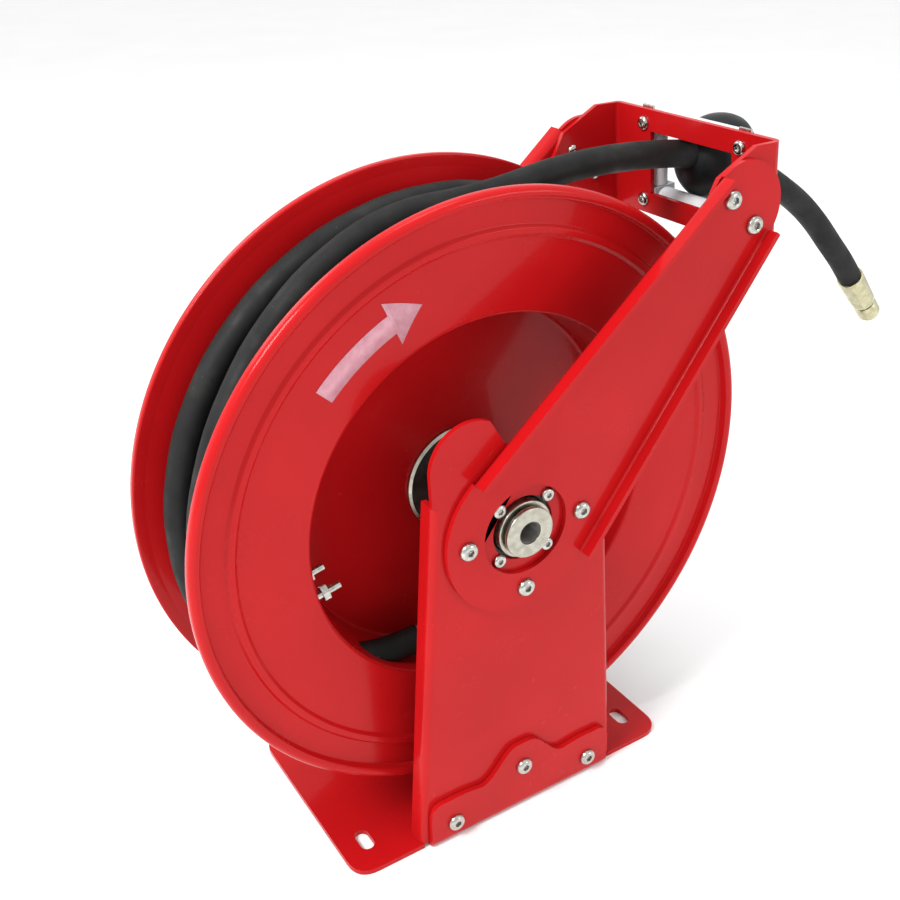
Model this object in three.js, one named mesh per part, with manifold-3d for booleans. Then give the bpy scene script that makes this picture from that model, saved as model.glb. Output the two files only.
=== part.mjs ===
// Spring-rewind hose reel on two pedestals, with a guide arm and a hose on its spool.
// Millimetres. +Z is up, and the reel's axis runs along Y at x = 0. The front, with the inlet
// swivel, faces -Y, and the hose leaves towards +X. The origin is the centre of the base's underside.
import * as THREE from "three";
import { mergeVertices } from "three/addons/utils/BufferGeometryUtils.js";
import Module from "manifold-3d";

const wasm = await Module();
wasm.setup();

// ---------- driving dimensions ----------

const gap = 0.3; // between pieces that touch
const sheet = 4; // pedestals, arms and bracket
const axisHeight = 282;

const base = {
  halfX: 160,
  halfY: 95,
  thick: 4.5,
  corner: 20,
  slotX: 137,
  slotY: 63,
  slotLength: 22,
  slotWidth: 12,
};
// The base's bent-up flange has a low lobe near each end and a higher one in the middle.
const flange = {
  halfX: 92,
  lobeAt: 67,
  lobeTop: 45,
  middleTop: 70,
  middleFlat: 6, // half length of the middle lobe's crest
  middleFoot: 42, // where the middle lobe meets the low ones
  footHeight: 42.5,
  endRound: 12,
  boltX: 69,
  boltLow: 18.7,
  boltHigh: 44.5,
};
const pedestal = {
  face: 95,
  footHalf: 101,
  slope: 0.0695,
  straightTop: 324,
  lobeAt: 45,
  lobeRadius: 34.5,
  lobePeak: 384,
  saddle: 352,
  lip: 16,
  hubHole: 27,
};
const arm = {
  tilt: 47, // degrees above level
  reach: 286,
  hubRadius: 70,
  tipRadius: 37,
  lip: 14.5,
  hubHole: 37.5,
  boltCircle: 52,
  tipBolt: 17,
};
// The bracket's plate leans back by "lean" as it rises; baseX is where it would meet the floor.
const bracket = {
  lowZ: 448,
  topZ: 538,
  baseX: 273.8,
  lean: 0.083,
  halfY: 95,
  windowHalfY: 47.5,
  windowLow: 466,
  windowHigh: 520,
  earBack: [[172, 519], [161, 497], [164, 474], [184, 453]], // the ears' rounded rear edge, top to bottom
};
const roller = {
  radius: 9,
  pin: 3,
  depth: 15, // from the bracket's plate to the rollers' centres
  halfSpanY: 56,
  halfSpanZ: 33,
  block: 20,
  blockTop: 44,
};

// A pressed disc of the spool: mouth is where its flat face turns down into the dish.
const disc = {
  radius: 250,
  rimY: 57.2,
  bead: 4.8,
  thick: 2,
  faceY: 54.6,
  ribRadius: 217,
  ribY: 57,
  mouth: 155.5,
  mouthY: 50,
  wallFoot: 150.5,
  webHole: 17,
  rearShift: 4, // how much further out the rear disc's face and rim stand
};
const frontFloor = -1; // y of the front dish's floor
const rearFloor = 3.3; // y of the rear dish's floor
const drum = { outer: 165, wall: 2, half: 46.6 };
const hub = { radius: 46, face: -5 };
const shaft = { radius: 15, bore: 11.4, front: -99 };
const springCase = { radius: 120, wall: 2.5, depth: 40 };
const ratchet = { teeth: 12, radius: 62, notch: 9, thick: 6, clear: 1.5 };
const hose = { radius: 11.4, windingInner: 165.6, windingOuter: 234.6, windingHalf: 46.4 };
const ball = { centre: [281.2, 17, 496.2], radius: 37.5, seam: 0.6 };

const largeRound = 50; // sides of the large turned parts

// ---------- materials ----------

function finish(color, roughness, metalness) {
  return new THREE.MeshStandardMaterial({ color, roughness, metalness });
}

const paint = finish(0xc31a1c, 0.28, 0.1);
const zinc = finish(0xc9c9c4, 0.32, 0.9);
const steel = finish(0x9c9a8c, 0.38, 0.95);
const darkSteel = finish(0x4a4843, 0.5, 0.8);
const rubber = finish(0x303232, 0.75, 0);
const ballRubber = finish(0x151717, 0.5, 0);
const nylon = finish(0xe6e6e3, 0.45, 0);
const blockGrey = finish(0xa9abac, 0.5, 0.2);
const brass = finish(0xc9c394, 0.35, 0.9);

// ---------- solids ----------

function solidOf(geometry) {
  const bare = geometry.clone();
  bare.deleteAttribute("normal");
  bare.deleteAttribute("uv");
  const merged = mergeVertices(bare, 1e-4);
  const mesh = new wasm.Mesh({
    numProp: 3,
    vertProperties: new Float32Array(merged.attributes.position.array),
    triVerts: new Uint32Array(merged.index.array),
  });
  return new wasm.Manifold(mesh);
}

function geometryOf(solid) {
  const mesh = solid.getMesh();
  const indexed = new THREE.BufferGeometry();
  indexed.setAttribute("position", new THREE.BufferAttribute(mesh.vertProperties, 3));
  indexed.setIndex(new THREE.BufferAttribute(mesh.triVerts, 1));
  const flat = indexed.toNonIndexed();
  flat.computeVertexNormals();
  return flat;
}

function join(...geometries) {
  return geometryOf(geometries.map(solidOf).reduce((sum, next) => sum.add(next)));
}

function cut(geometry, ...tools) {
  return geometryOf(tools.map(solidOf).reduce((left, tool) => left.subtract(tool), solidOf(geometry)));
}

function overlap(geometry, other) {
  return geometryOf(solidOf(geometry).intersect(solidOf(other)));
}

function outline(points) {
  return new THREE.Shape(points.map(([x, y]) => new THREE.Vector2(x, y)));
}

// An outline in the X-Z plane, filled from y = low to y = high.
function upright(shape, low, high, curveSegments = 12) {
  const made = new THREE.ExtrudeGeometry(shape, { depth: high - low, bevelEnabled: false, curveSegments });
  return made.rotateX(Math.PI / 2).translate(0, high, 0);
}

// An outline in the X-Y plane, filled from z = low to z = high.
function level(shape, low, high, curveSegments = 12) {
  const made = new THREE.ExtrudeGeometry(shape, { depth: high - low, bevelEnabled: false, curveSegments });
  return made.translate(0, 0, low);
}

// A closed profile of [radius, y] points turned about the Y axis.
function turned(profile, sides = largeRound) {
  const area = profile.reduce((sum, [r, y], i) => {
    const [nextR, nextY] = profile[(i + 1) % profile.length];
    return sum + r * nextY - nextR * y;
  }, 0);
  const ordered = area > 0 ? profile : [...profile].reverse();
  const points = [...ordered, ordered[0]].map(([r, y]) => new THREE.Vector2(r, y));
  return new THREE.LatheGeometry(points, sides);
}

// A rod along Y, centred on x and z.
function rodY(x, z, radius, low, high, sides = 16) {
  const made = new THREE.CylinderGeometry(radius, radius, Math.abs(high - low), sides);
  return made.translate(x, (low + high) / 2, z);
}

// A rod along Z, centred on x and y.
function rodZ(x, y, radius, low, high, sides = 16) {
  const made = new THREE.CylinderGeometry(radius, radius, Math.abs(high - low), sides);
  return made.rotateX(Math.PI / 2).translate(x, y, (low + high) / 2);
}

function slab(x0, x1, y0, y1, z0, z1) {
  const made = new THREE.BoxGeometry(x1 - x0, Math.abs(y1 - y0), z1 - z0);
  return made.translate((x0 + x1) / 2, (y0 + y1) / 2, (z0 + z1) / 2);
}

function tubeAlong(curve, radius, steps, sides = 10) {
  const section = new THREE.Shape();
  section.absarc(0, 0, radius, 0, 2 * Math.PI, false);
  const options = { steps, extrudePath: curve, curveSegments: sides / 2, bevelEnabled: false };
  return new THREE.ExtrudeGeometry(section, options);
}

// ---------- the part ----------

const part = new THREE.Group();

function put(parent, name, geometry, material) {
  const mesh = new THREE.Mesh(geometry, material);
  mesh.name = name;
  parent.add(mesh);
  return mesh;
}

// The same piece on the front, and mirrored to the rear.
function putBothSides(name, geometry, material) {
  put(part, `front_${name}`, geometry, material);
  put(part, `rear_${name}`, geometry, material).scale.set(1, -1, 1);
}

const atAxis = new THREE.Group(); // everything centred on the reel's axis
atAxis.position.z = axisHeight;
part.add(atAxis);

// ---------- base ----------

// Height of the base's bent-up flange at a given x.
function flangeTop(x) {
  const { halfX, endRound, lobeAt, lobeTop, middleTop, middleFlat, middleFoot, footHeight } = flange;
  const away = Math.abs(x);
  const intoRound = endRound - (halfX - away);
  if (intoRound > 0) {
    return lobeTop - endRound + Math.sqrt(endRound ** 2 - intoRound ** 2);
  }
  if (away > middleFoot) {
    const fromLobe = (away - lobeAt) / (middleFoot - lobeAt);
    return lobeTop - (lobeTop - footHeight) * fromLobe ** 2;
  }
  const downSlope = Math.max(away - middleFlat, 0) / (middleFoot - middleFlat);
  return footHeight + ((middleTop - footHeight) * (1 + Math.cos(Math.PI * downSlope))) / 2;
}

function flangeShape() {
  const top = [];
  for (let x = flange.halfX; x >= -flange.halfX; x -= 6) {
    top.push([x, flangeTop(x)]);
  }
  return outline([[-flange.halfX, 0], [flange.halfX, 0], ...top]);
}

function basePlate() {
  const { halfX, halfY, corner, thick } = base;
  const plan = new THREE.Shape();
  plan.absarc(halfX - corner, halfY - corner, corner, 0, Math.PI / 2);
  plan.absarc(-halfX + corner, halfY - corner, corner, Math.PI / 2, Math.PI);
  plan.absarc(-halfX + corner, -halfY + corner, corner, Math.PI, 1.5 * Math.PI);
  plan.absarc(halfX - corner, -halfY + corner, corner, 1.5 * Math.PI, 2 * Math.PI);
  let plate = level(plan, 0, thick, 6);
  const inner = halfY + gap;
  const outer = inner + thick;
  for (const side of [-1, 1]) {
    const low = side < 0 ? -outer : inner;
    plate = join(plate, upright(flangeShape(), low, low + thick));
    const rootLow = side < 0 ? -outer : inner - 1;
    plate = join(plate, slab(-flange.halfX, flange.halfX, rootLow, rootLow + thick + 1, 0, thick));
    for (const end of [-1, 1]) {
      const notch = end * (flange.halfX + 2.5);
      plate = cut(plate, slab(notch - 2.5, notch + 2.5, side * inner - 7, side * inner + 7, -1, thick + 1));
      plate = cut(plate, slotTool(end * base.slotX, side * base.slotY));
    }
    for (const [x, z] of flangeBolts) {
      plate = cut(plate, rodY(x, z, 4.4, low - 1, low + thick + 1, 10));
    }
  }
  return plate;
}

function slotTool(x, y) {
  const { slotLength, slotWidth, thick } = base;
  const half = slotLength / 2 - slotWidth / 2;
  const shape = new THREE.Shape();
  shape.absarc(x, y + half, slotWidth / 2, 0, Math.PI);
  shape.absarc(x, y - half, slotWidth / 2, Math.PI, 2 * Math.PI);
  return level(shape, -1, thick + 1, 5);
}

const flangeBolts = [
  [-flange.boltX, flange.boltLow],
  [0, flange.boltHigh],
  [flange.boltX, flange.boltLow],
];

// ---------- pedestals ----------

const armBolts = [[arm.boltCircle, 0], [-arm.boltCircle, 0], [0, -arm.boltCircle]];
const bearingScrews = [[22, 22], [-22, 22], [-22, -22], [22, -22]];

function pedestalHalfWidth(z) {
  return pedestal.footHalf - pedestal.slope * z;
}

function pedestalShape() {
  const { lobeAt, lobeRadius, lobePeak, saddle } = pedestal;
  const foot = base.thick + gap;
  const lobeZ = lobePeak - lobeRadius;
  const right = [[pedestalHalfWidth(foot), foot], [lobeAt + lobeRadius, lobeZ]];
  for (let angle = 15; angle <= 125; angle += 15) {
    const turn = (angle * Math.PI) / 180;
    right.push([lobeAt + lobeRadius * Math.cos(turn), lobeZ + lobeRadius * Math.sin(turn)]);
  }
  right.push([12, saddle + 4]);
  const left = right.map(([x, z]) => [-x, z]).reverse();
  return outline([...right, [0, saddle], ...left]);
}

function pedestalBody() {
  const { face, straightTop, lip, hubHole } = pedestal;
  const foot = base.thick + gap;
  let body = upright(pedestalShape(), -face, -face + sheet);
  for (const side of [-1, 1]) {
    const strip = outline([
      [side * pedestalHalfWidth(foot), foot],
      [side * pedestalHalfWidth(straightTop), straightTop],
      [side * (pedestalHalfWidth(straightTop) - sheet), straightTop],
      [side * (pedestalHalfWidth(foot) - sheet), foot],
    ]);
    body = join(body, upright(strip, -face, -face + lip));
  }
  const through = (x, z, radius, sides) => rodY(x, z, radius, -face - 1, -face + sheet + 1, sides);
  const holes = [
    through(0, axisHeight, hubHole, 28),
    ...armBolts.map(([x, z]) => through(x, axisHeight + z, 4.4, 10)),
    ...bearingScrews.map(([x, z]) => through(x, axisHeight + z, 3.4, 10)),
    ...flangeBolts.map(([x, z]) => through(x, z, 4.4, 10)),
  ];
  return cut(body, ...holes);
}

// ---------- guide arms ----------

const armAngle = (arm.tilt * Math.PI) / 180;
const armTip = [arm.reach * Math.cos(armAngle), axisHeight + arm.reach * Math.sin(armAngle)];
const armTaper = Math.asin((arm.hubRadius - arm.tipRadius) / arm.reach);
const tipBolts = [-1, 1].map((side) => [
  armTip[0] + side * arm.tipBolt * Math.sin(armAngle),
  armTip[1] - side * arm.tipBolt * Math.cos(armAngle),
]);

// The point at a given angle on the circle round the hub (or the tip) of the arm.
function roundPoint([x, z], radius, angle) {
  return [x + radius * Math.cos(angle), z + radius * Math.sin(angle)];
}

function armBody() {
  const hubCentre = [0, axisHeight];
  const outerFace = -(pedestal.face + gap + sheet);
  const innerFace = -(pedestal.face + gap);
  const upperNormal = armAngle + Math.PI / 2 - armTaper;
  const lowerNormal = armAngle - Math.PI / 2 + armTaper;
  const plan = new THREE.Shape();
  plan.absarc(...armTip, arm.tipRadius, lowerNormal, upperNormal);
  plan.absarc(...hubCentre, arm.hubRadius, upperNormal, lowerNormal + 2 * Math.PI);
  let body = upright(plan, outerFace, innerFace, 16);
  for (const normal of [upperNormal, lowerNormal]) {
    const strip = outline([
      roundPoint(hubCentre, arm.hubRadius, normal),
      roundPoint(armTip, arm.tipRadius, normal),
      roundPoint(armTip, arm.tipRadius - sheet, normal),
      roundPoint(hubCentre, arm.hubRadius - sheet, normal),
    ]);
    body = join(body, upright(strip, innerFace - arm.lip, innerFace));
  }
  const through = (x, z, radius, sides) => rodY(x, z, radius, outerFace - 1, innerFace + 1, sides);
  return cut(
    body,
    through(0, axisHeight, arm.hubHole, 32),
    ...armBolts.map(([x, z]) => through(x, axisHeight + z, 4.4, 10)),
    ...tipBolts.map(([x, z]) => through(x, z, 4.4, 10)),
  );
}

// ---------- roller bracket ----------

function bracketX(z) {
  return bracket.baseX - bracket.lean * z;
}

const windowCentre = (bracket.windowLow + bracket.windowHigh) / 2;
const leanAngle = Math.atan(bracket.lean);

// Corners of the roller frame, in the bracket's own leaning frame.
const blockPlaces = [
  ["upper_front", -1, roller.halfSpanZ],
  ["upper_rear", 1, roller.halfSpanZ],
  ["lower_front", -1, -roller.halfSpanZ],
  ["lower_rear", 1, -roller.halfSpanZ],
];

function bracketBody() {
  const { lowZ, topZ, halfY, windowHalfY, windowLow, windowHigh, earBack } = bracket;
  const low = bracketX(lowZ);
  const top = bracketX(topZ);
  const section = outline([[low, lowZ], [low + sheet, lowZ], [top + sheet, topZ], [top, topZ]]);
  let body = upright(section, -halfY, halfY);
  const ear = outline([
    [low + 0.5, lowZ],
    [top + 0.5, topZ],
    [top - 26, topZ],
    ...earBack,
    [196, lowZ],
  ]);
  for (const side of [-1, 1]) {
    const start = side < 0 ? -halfY : halfY - sheet;
    body = join(body, upright(ear, start, start + sheet));
  }
  const window = slab(low - 30, low + 30, -windowHalfY, windowHalfY, windowLow, windowHigh);
  const bolts = tipBolts.map(([x, z]) => rodY(x, z, 4.4, -halfY - 1, halfY + 1, 10));
  const screws = blockPlaces.map(([, side, height]) => inBracketFrame(
    screwRod(side * roller.halfSpanY, height, 2.7, -2, sheet + 2),
  ));
  return cut(body, window, ...bolts, ...screws);
}

// A rod square to the leaning plate, in the bracket's own frame.
function screwRod(y, z, radius, low, high) {
  const made = new THREE.CylinderGeometry(radius, radius, high - low, 10);
  return made.rotateZ(Math.PI / 2).translate((low + high) / 2, y, z);
}

function inBracketFrame(geometry) {
  return geometry.rotateY(-leanAngle).translate(bracketX(windowCentre), 0, windowCentre);
}

// ---------- roller frame: four blocks, four rollers on pins ----------

function rollerFrame() {
  const frame = new THREE.Group();
  frame.position.set(bracketX(windowCentre), 0, windowCentre);
  frame.rotation.y = -leanAngle;
  part.add(frame);

  const { radius, pin, depth, halfSpanY, halfSpanZ, block, blockTop } = roller;
  const half = block / 2;
  const nearFace = sheet + gap;
  for (const [place, side, height] of blockPlaces) {
    const y = side * halfSpanY;
    const top = height > 0 ? blockTop : height + half;
    const up = Math.sign(height);
    let body = slab(nearFace, nearFace + block + 2, y - half, y + half, height - half, top);
    body = cut(
      body,
      screwRod(y, height, 2.7, nearFace - 1, nearFace + 5),
      rodY(depth, height, pin + gap, y - side * (half + 1), y - side * 3, 12),
      rodZ(depth, y, pin + gap, up * (halfSpanZ - half - 1), up * (halfSpanZ - 3), 12),
    );
    put(frame, `corner_block_${place}`, body, blockGrey);
  }

  const reachY = halfSpanY - half;
  const reachZ = halfSpanZ - half;
  for (const [name, height] of [["upper", halfSpanZ], ["lower", -halfSpanZ]]) {
    const sleeve = cut(
      rodY(depth, height, radius, -reachY + 0.6, reachY - 0.6, 24),
      rodY(depth, height, pin + gap, -reachY, reachY, 12),
    );
    put(frame, `roller_${name}`, sleeve, nylon);
    put(frame, `roller_pin_${name}`, rodY(depth, height, pin, -reachY - 6, reachY + 6, 12), steel);
  }
  for (const [name, side] of [["front", -1], ["rear", 1]]) {
    const y = side * halfSpanY;
    const sleeve = cut(
      rodZ(depth, y, radius, -reachZ + 0.6, reachZ - 0.6, 24),
      rodZ(depth, y, pin + gap, -reachZ, reachZ, 12),
    );
    put(frame, `roller_${name}`, sleeve, nylon);
    put(frame, `roller_pin_${name}`, rodZ(depth, y, pin, -reachZ - 6, reachZ + 6, 12), steel);
  }
}

// ---------- bolts ----------

// A button-head bolt along +Y with its nut: the head's seat is at y = 0, the nut's at y = grip.
function boltBody(shankRadius, headRadius, headHeight, grip) {
  const head = turned([
    [0, -headHeight],
    [headRadius * 0.55, -headHeight],
    [headRadius * 0.88, -headHeight * 0.6],
    [headRadius, -headHeight * 0.15],
    [headRadius, -gap / 2],
    [0, -gap / 2],
  ], 12);
  const socket = new THREE.CylinderGeometry(headRadius * 0.36, headRadius * 0.36, headHeight, 6);
  socket.translate(0, -headHeight, 0);
  const end = grip + shankRadius * 1.9;
  const shank = rodY(0, 0, shankRadius, -gap, end, 8);
  const nutHeight = shankRadius * 1.6;
  const nut = new THREE.CylinderGeometry(shankRadius * 1.85, shankRadius * 1.85, nutHeight, 6);
  nut.translate(0, grip + gap / 2 + nutHeight / 2, 0);
  return cut(join(head, shank, nut), socket);
}

function putBolt(name, geometry, x, y, z, towardsRear) {
  const bolt = put(part, name, geometry, zinc);
  bolt.position.set(x, y, z);
  bolt.rotation.z = towardsRear ? 0 : Math.PI;
}

function bolts() {
  const armBolt = boltBody(4, 7, 4.4, 2 * sheet + gap);
  const flangeBolt = boltBody(4, 7, 4.4, sheet + base.thick + gap);
  const armFace = pedestal.face + gap + sheet;
  const flangeFace = base.halfY + gap + base.thick;
  ["east", "west", "south"].forEach((place, i) => {
    const [x, z] = armBolts[i];
    putBolt(`front_arm_bolt_${place}`, armBolt, x, -armFace, axisHeight + z, true);
  });
  for (const [end, side] of [["front", -1], ["rear", 1]]) {
    tipBolts.forEach(([x, z], i) => {
      putBolt(`${end}_tip_bolt_${i + 1}`, armBolt, x, side * armFace, z, side < 0);
    });
    flangeBolts.forEach(([x, z], i) => {
      putBolt(`${end}_foot_bolt_${i + 1}`, flangeBolt, x, side * flangeFace, z, side < 0);
    });
  }
}

// ---------- spool ----------

// One pressed disc: rolled rim, flat face with a rib, and a dished middle whose floor is at floorY.
// It is drawn for the front side; the rear one is mirrored. The face and rim stand "shift" further out.
function discProfile(floorY, shift = 0) {
  const { radius, rimY, bead, thick, faceY, ribRadius, ribY, mouth, mouthY, wallFoot, webHole } = disc;
  const face = [
    [webHole, floorY],
    [wallFoot - 4, floorY],
    [wallFoot - 1, floorY - 1.2],
    [wallFoot, floorY - 4],
    [mouth - 1.5, -mouthY + 5],
    [mouth, -mouthY + 1.6],
    [mouth + 3, -mouthY],
    [ribRadius - 6, -ribY + 4 - shift],
    [ribRadius - 3, -ribY + 0.8 - shift],
    [ribRadius + 2, -ribY - shift],
    [ribRadius + 5, -ribY + 3 - shift],
    [radius - 2 * bead, -faceY - shift],
  ];
  const rim = [];
  for (let angle = 220; angle <= 480; angle += 65) {
    const turn = (angle * Math.PI) / 180;
    rim.push([radius - bead + bead * Math.cos(turn), -rimY - shift + bead * Math.sin(turn)]);
  }
  const back = [
    [radius - 2 * bead, -faceY + thick - shift],
    [mouth + 4, -mouthY + thick],
    [mouth + thick + 0.4, -mouthY + 2.8],
    [wallFoot + thick, floorY - 4],
    [wallFoot, floorY + thick - 1.4],
    [wallFoot - 4, floorY + thick],
    [webHole, floorY + thick],
  ];
  return [...face, ...rim, ...back];
}

// The hose's inner end: from the drum, through the dish's wall, to the hub's elbow.
const tailY = -31;
const tailZ = -120.4; // height of the elbow's open end above the axis
const tailPoints = [[-151, -88], [-133, -104], [-112, -115], [-91, -119.8], [-62, tailZ]];
const tailCurve = new THREE.CatmullRomCurve3(tailPoints.map(([x, z]) => new THREE.Vector3(x, tailY, z)));

const clampAngle = (-167.5 * Math.PI) / 180;
const clampHalf = 14;
const clampTop = 192;
const clampEnd = 135;
const clampNutAt = 148;

function spool() {
  const tailTool = tubeAlong(tailCurve, hose.radius + 1.5, 16);
  const clampRods = [-1, 1].map((side) => clampRod(side, clampEnd - 5, clampTop, 3.4));
  put(atAxis, "front_disc", cut(turned(discProfile(frontFloor)), tailTool, ...clampRods), paint);

  put(atAxis, "rear_disc", turned(discProfile(-rearFloor, disc.rearShift)), paint).scale.set(1, -1, 1);

  const shell = turned([
    [drum.outer - drum.wall, -drum.half],
    [drum.outer, -drum.half],
    [drum.outer, drum.half],
    [drum.outer - drum.wall, drum.half],
  ]);
  put(atAxis, "drum_shell", cut(shell, tailTool, ...clampRods), paint);

  const flangeDisc = turned([
    [shaft.radius + gap, hub.face],
    [hub.radius - 1.5, hub.face],
    [hub.radius, hub.face + 1.5],
    [hub.radius, frontFloor - gap],
    [shaft.radius + gap, frontFloor - gap],
  ], 36);
  put(atAxis, "hub_flange", flangeDisc, darkSteel);

  const tube = turned([
    [shaft.bore, shaft.front],
    [shaft.radius, shaft.front],
    [shaft.radius, 2],
    [0, 2],
    [0, -40],
    [shaft.bore, -40],
  ], 24);
  put(atAxis, "spool_shaft", cut(tube, elbowSocket()), steel);
  hoseTail();
  hoseClamp();
}

function clampRod(side, low, high, radius) {
  const rod = new THREE.CylinderGeometry(radius, radius, high - low, 10);
  rod.rotateZ(-Math.PI / 2).translate((low + high) / 2, tailY + side * clampHalf, 0);
  return rod.rotateY(-clampAngle);
}

// The bar across the U-bolt's two legs, outside the hose.
function clampBow(radius) {
  const bow = new THREE.CylinderGeometry(radius, radius, 2 * (clampHalf + radius), 10);
  return bow.translate(clampTop, tailY, 0).rotateY(-clampAngle);
}

function elbowSocket() {
  return rodZ(0, tailY, 6.6, -40, -3, 12);
}

// Elbow on the shaft and the crimped ferrule that joins it to the hose's inner end.
function hoseTail() {
  const bend = new THREE.CatmullRomCurve3([
    new THREE.Vector3(0, tailY, -13),
    new THREE.Vector3(0, tailY, -70),
    new THREE.Vector3(-2, tailY, tailZ + 24),
    new THREE.Vector3(-12, tailY, tailZ + 6),
    new THREE.Vector3(-25, tailY, tailZ),
    new THREE.Vector3(-34, tailY, tailZ),
  ]);
  const pipe = tubeAlong(bend, 6.3, 14, 12);
  const nut = new THREE.CylinderGeometry(12, 12, 12, 6);
  nut.rotateX(Math.PI / 2).translate(0, tailY, -30);
  put(atAxis, "hub_elbow", join(pipe, nut), zinc);

  const ferrule = turned([[0, 0], [12.6, 0], [13.2, 3], [13.2, 20], [10, 22], [10, 26.4], [0, 26.4]], 16);
  ferrule.rotateZ(-Math.PI / 2).translate(-61.2, tailY, tailZ);
  put(atAxis, "tail_ferrule", ferrule, zinc);
  put(atAxis, "hose_tail", tubeAlong(tailCurve, hose.radius, 12), rubber);
}

// U-bolt that holds the hose's first turn to the drum, with its two nuts inside the dish.
function hoseClamp() {
  const legs = [-1, 1].map((side) => clampRod(side, clampEnd, clampTop, 3));
  put(atAxis, "clamp_ubolt", join(...legs, clampBow(3)), zinc);
  [-1, 1].forEach((side, i) => {
    const nut = new THREE.CylinderGeometry(6.2, 6.2, 5, 6);
    nut.rotateZ(-Math.PI / 2).translate(clampNutAt, tailY + side * clampHalf, 0);
    nut.rotateY(-clampAngle);
    put(atAxis, `clamp_nut_${i + 1}`, cut(nut, clampRod(side, clampEnd - 5, clampTop, 3 + gap)), zinc);
  });
}

// ---------- rewind spring, arbor and ratchet ----------

function rewind() {
  const floor = rearFloor + gap;
  const { radius, wall, depth } = springCase;
  const rim = floor + depth;
  const can = turned([
    [shaft.radius + 3, floor],
    [radius, floor],
    [radius, rim],
    [radius - wall, rim],
    [radius - wall, floor + wall],
    [shaft.radius + 3, floor + wall],
  ], 40);
  put(atAxis, "spring_case", can, paint);

  const cover = turned([
    [shaft.radius + 3, rim + gap],
    [radius + 1, rim + gap],
    [radius + 1, rim + gap + 2],
    [shaft.radius + 3, rim + gap + 2],
  ], 40);
  put(atAxis, "spring_cover", cover, paint);

  put(atAxis, "spiral_spring", upright(spiralShape(), floor + 5, rim - 4), darkSteel);

  const wheelLow = rim + gap + 2 + ratchet.clear;
  put(atAxis, "ratchet_wheel", upright(ratchetShape(), wheelLow, wheelLow + ratchet.thick), darkSteel);

  put(atAxis, "spring_arbor", arborBody(floor + 2), steel);
  return wheelLow;
}

function arborBody(inner) {
  const rod = rodY(0, 0, shaft.radius, inner, 106, 24);
  const plate = rodY(0, 0, 40, 84, pedestal.face - sheet - gap, 28);
  return join(rod, plate);
}

// A flat strip wound in a spiral, from just off the arbor to just off the case.
function spiralShape() {
  const turns = 5;
  const steps = turns * 16;
  const start = shaft.radius + 3;
  const end = springCase.radius - springCase.wall - 4;
  const inner = [];
  const outer = [];
  for (let i = 0; i <= steps; i += 1) {
    const angle = (2 * Math.PI * turns * i) / steps;
    const r = start + ((end - start) * i) / steps;
    inner.push([r * Math.cos(angle), r * Math.sin(angle)]);
    outer.unshift([(r + 1.6) * Math.cos(angle), (r + 1.6) * Math.sin(angle)]);
  }
  return outline([...outer, ...inner].reverse());
}

// Twelve square notches in a round wheel, with the shaft's hole.
function ratchetShape() {
  const points = [];
  for (let tooth = 0; tooth < ratchet.teeth; tooth += 1) {
    const start = (2 * Math.PI * tooth) / ratchet.teeth + pawlBearing - 0.22;
    for (const [r, turn] of [
      [ratchet.radius, -0.14],
      [ratchet.radius, 0],
      [ratchet.radius - ratchet.notch, 0.02],
      [ratchet.radius - ratchet.notch, 0.2],
      [ratchet.radius, 0.26],
    ]) {
      points.push([r * Math.cos(start + turn), r * Math.sin(start + turn)]);
    }
  }
  const shape = outline(points);
  const hole = new THREE.Path();
  hole.absarc(0, 0, shaft.radius + 3, 0, 2 * Math.PI, true);
  shape.holes.push(hole);
  return shape;
}

const pawlBearing = 2.62; // direction of the pawl's nose from the axis, in radians
const pawlReach = 66.5; // from the axis to the pawl's nose
const pawlPivot = [-48, 62];

function pawlParts(wheelLow) {
  const low = wheelLow;
  const high = wheelLow + ratchet.thick;
  const [px, pz] = pawlPivot;
  const noseX = pawlReach * Math.cos(pawlBearing);
  const noseZ = pawlReach * Math.sin(pawlBearing);
  const along = Math.hypot(noseX - px, noseZ - pz);
  const ux = (noseX - px) / along;
  const uz = (noseZ - pz) / along;
  const wide = 5; // half width at the pivot
  const narrow = 2.5; // half width at the nose
  const bar = outline([
    [px + uz * wide, pz - ux * wide],
    [px - uz * wide, pz + ux * wide],
    [noseX - uz * narrow, noseZ + ux * narrow],
    [noseX + uz * narrow, noseZ - ux * narrow],
  ]);
  const boss = rodY(px, pz, 9, low, high, 20);
  const body = cut(join(upright(bar, low, high), boss), rodY(px, pz, 4 + gap, low - 1, high + 1, 16));
  put(atAxis, "pawl", body, darkSteel);
  const pinEnd = pedestal.face - sheet - gap;
  const pin = join(rodY(px, pz, 4, low, pinEnd, 16), rodY(px, pz, 7.5, high + 8, pinEnd, 16));
  put(atAxis, "pawl_pin", pin, zinc);
  const coil = turned([[4.6, high + 1], [6.6, high + 1], [6.6, high + 6.5], [4.6, high + 6.5]], 16);
  put(atAxis, "pawl_spring", coil.translate(px, 0, pz), steel);
}

// ---------- front bearing and inlet swivel ----------

function frontBearing() {
  const back = -(pedestal.face - sheet - gap);
  const housing = turned([
    [25, back],
    [41, back],
    [41, back + 5],
    [31, back + 9],
    [29, back + 16],
    [22, back + 18],
    [22, back + 4],
  ], 28);
  const screws = bearingScrews.map(([x, z]) => rodY(x, z, 3.4, back - 1, back + 12, 10));
  put(atAxis, "front_bearing_housing", cut(housing, ...screws), darkSteel);
  const collar = turned([
    [shaft.radius + gap, -98.6],
    [23, -98.6],
    [24.3, -97.4],
    [24.3, -92],
    [21.4, -91],
    [21.4, -76],
    [shaft.radius + gap, -76],
  ], 28);
  put(atAxis, "bearing_collar", collar, steel);
}

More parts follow.
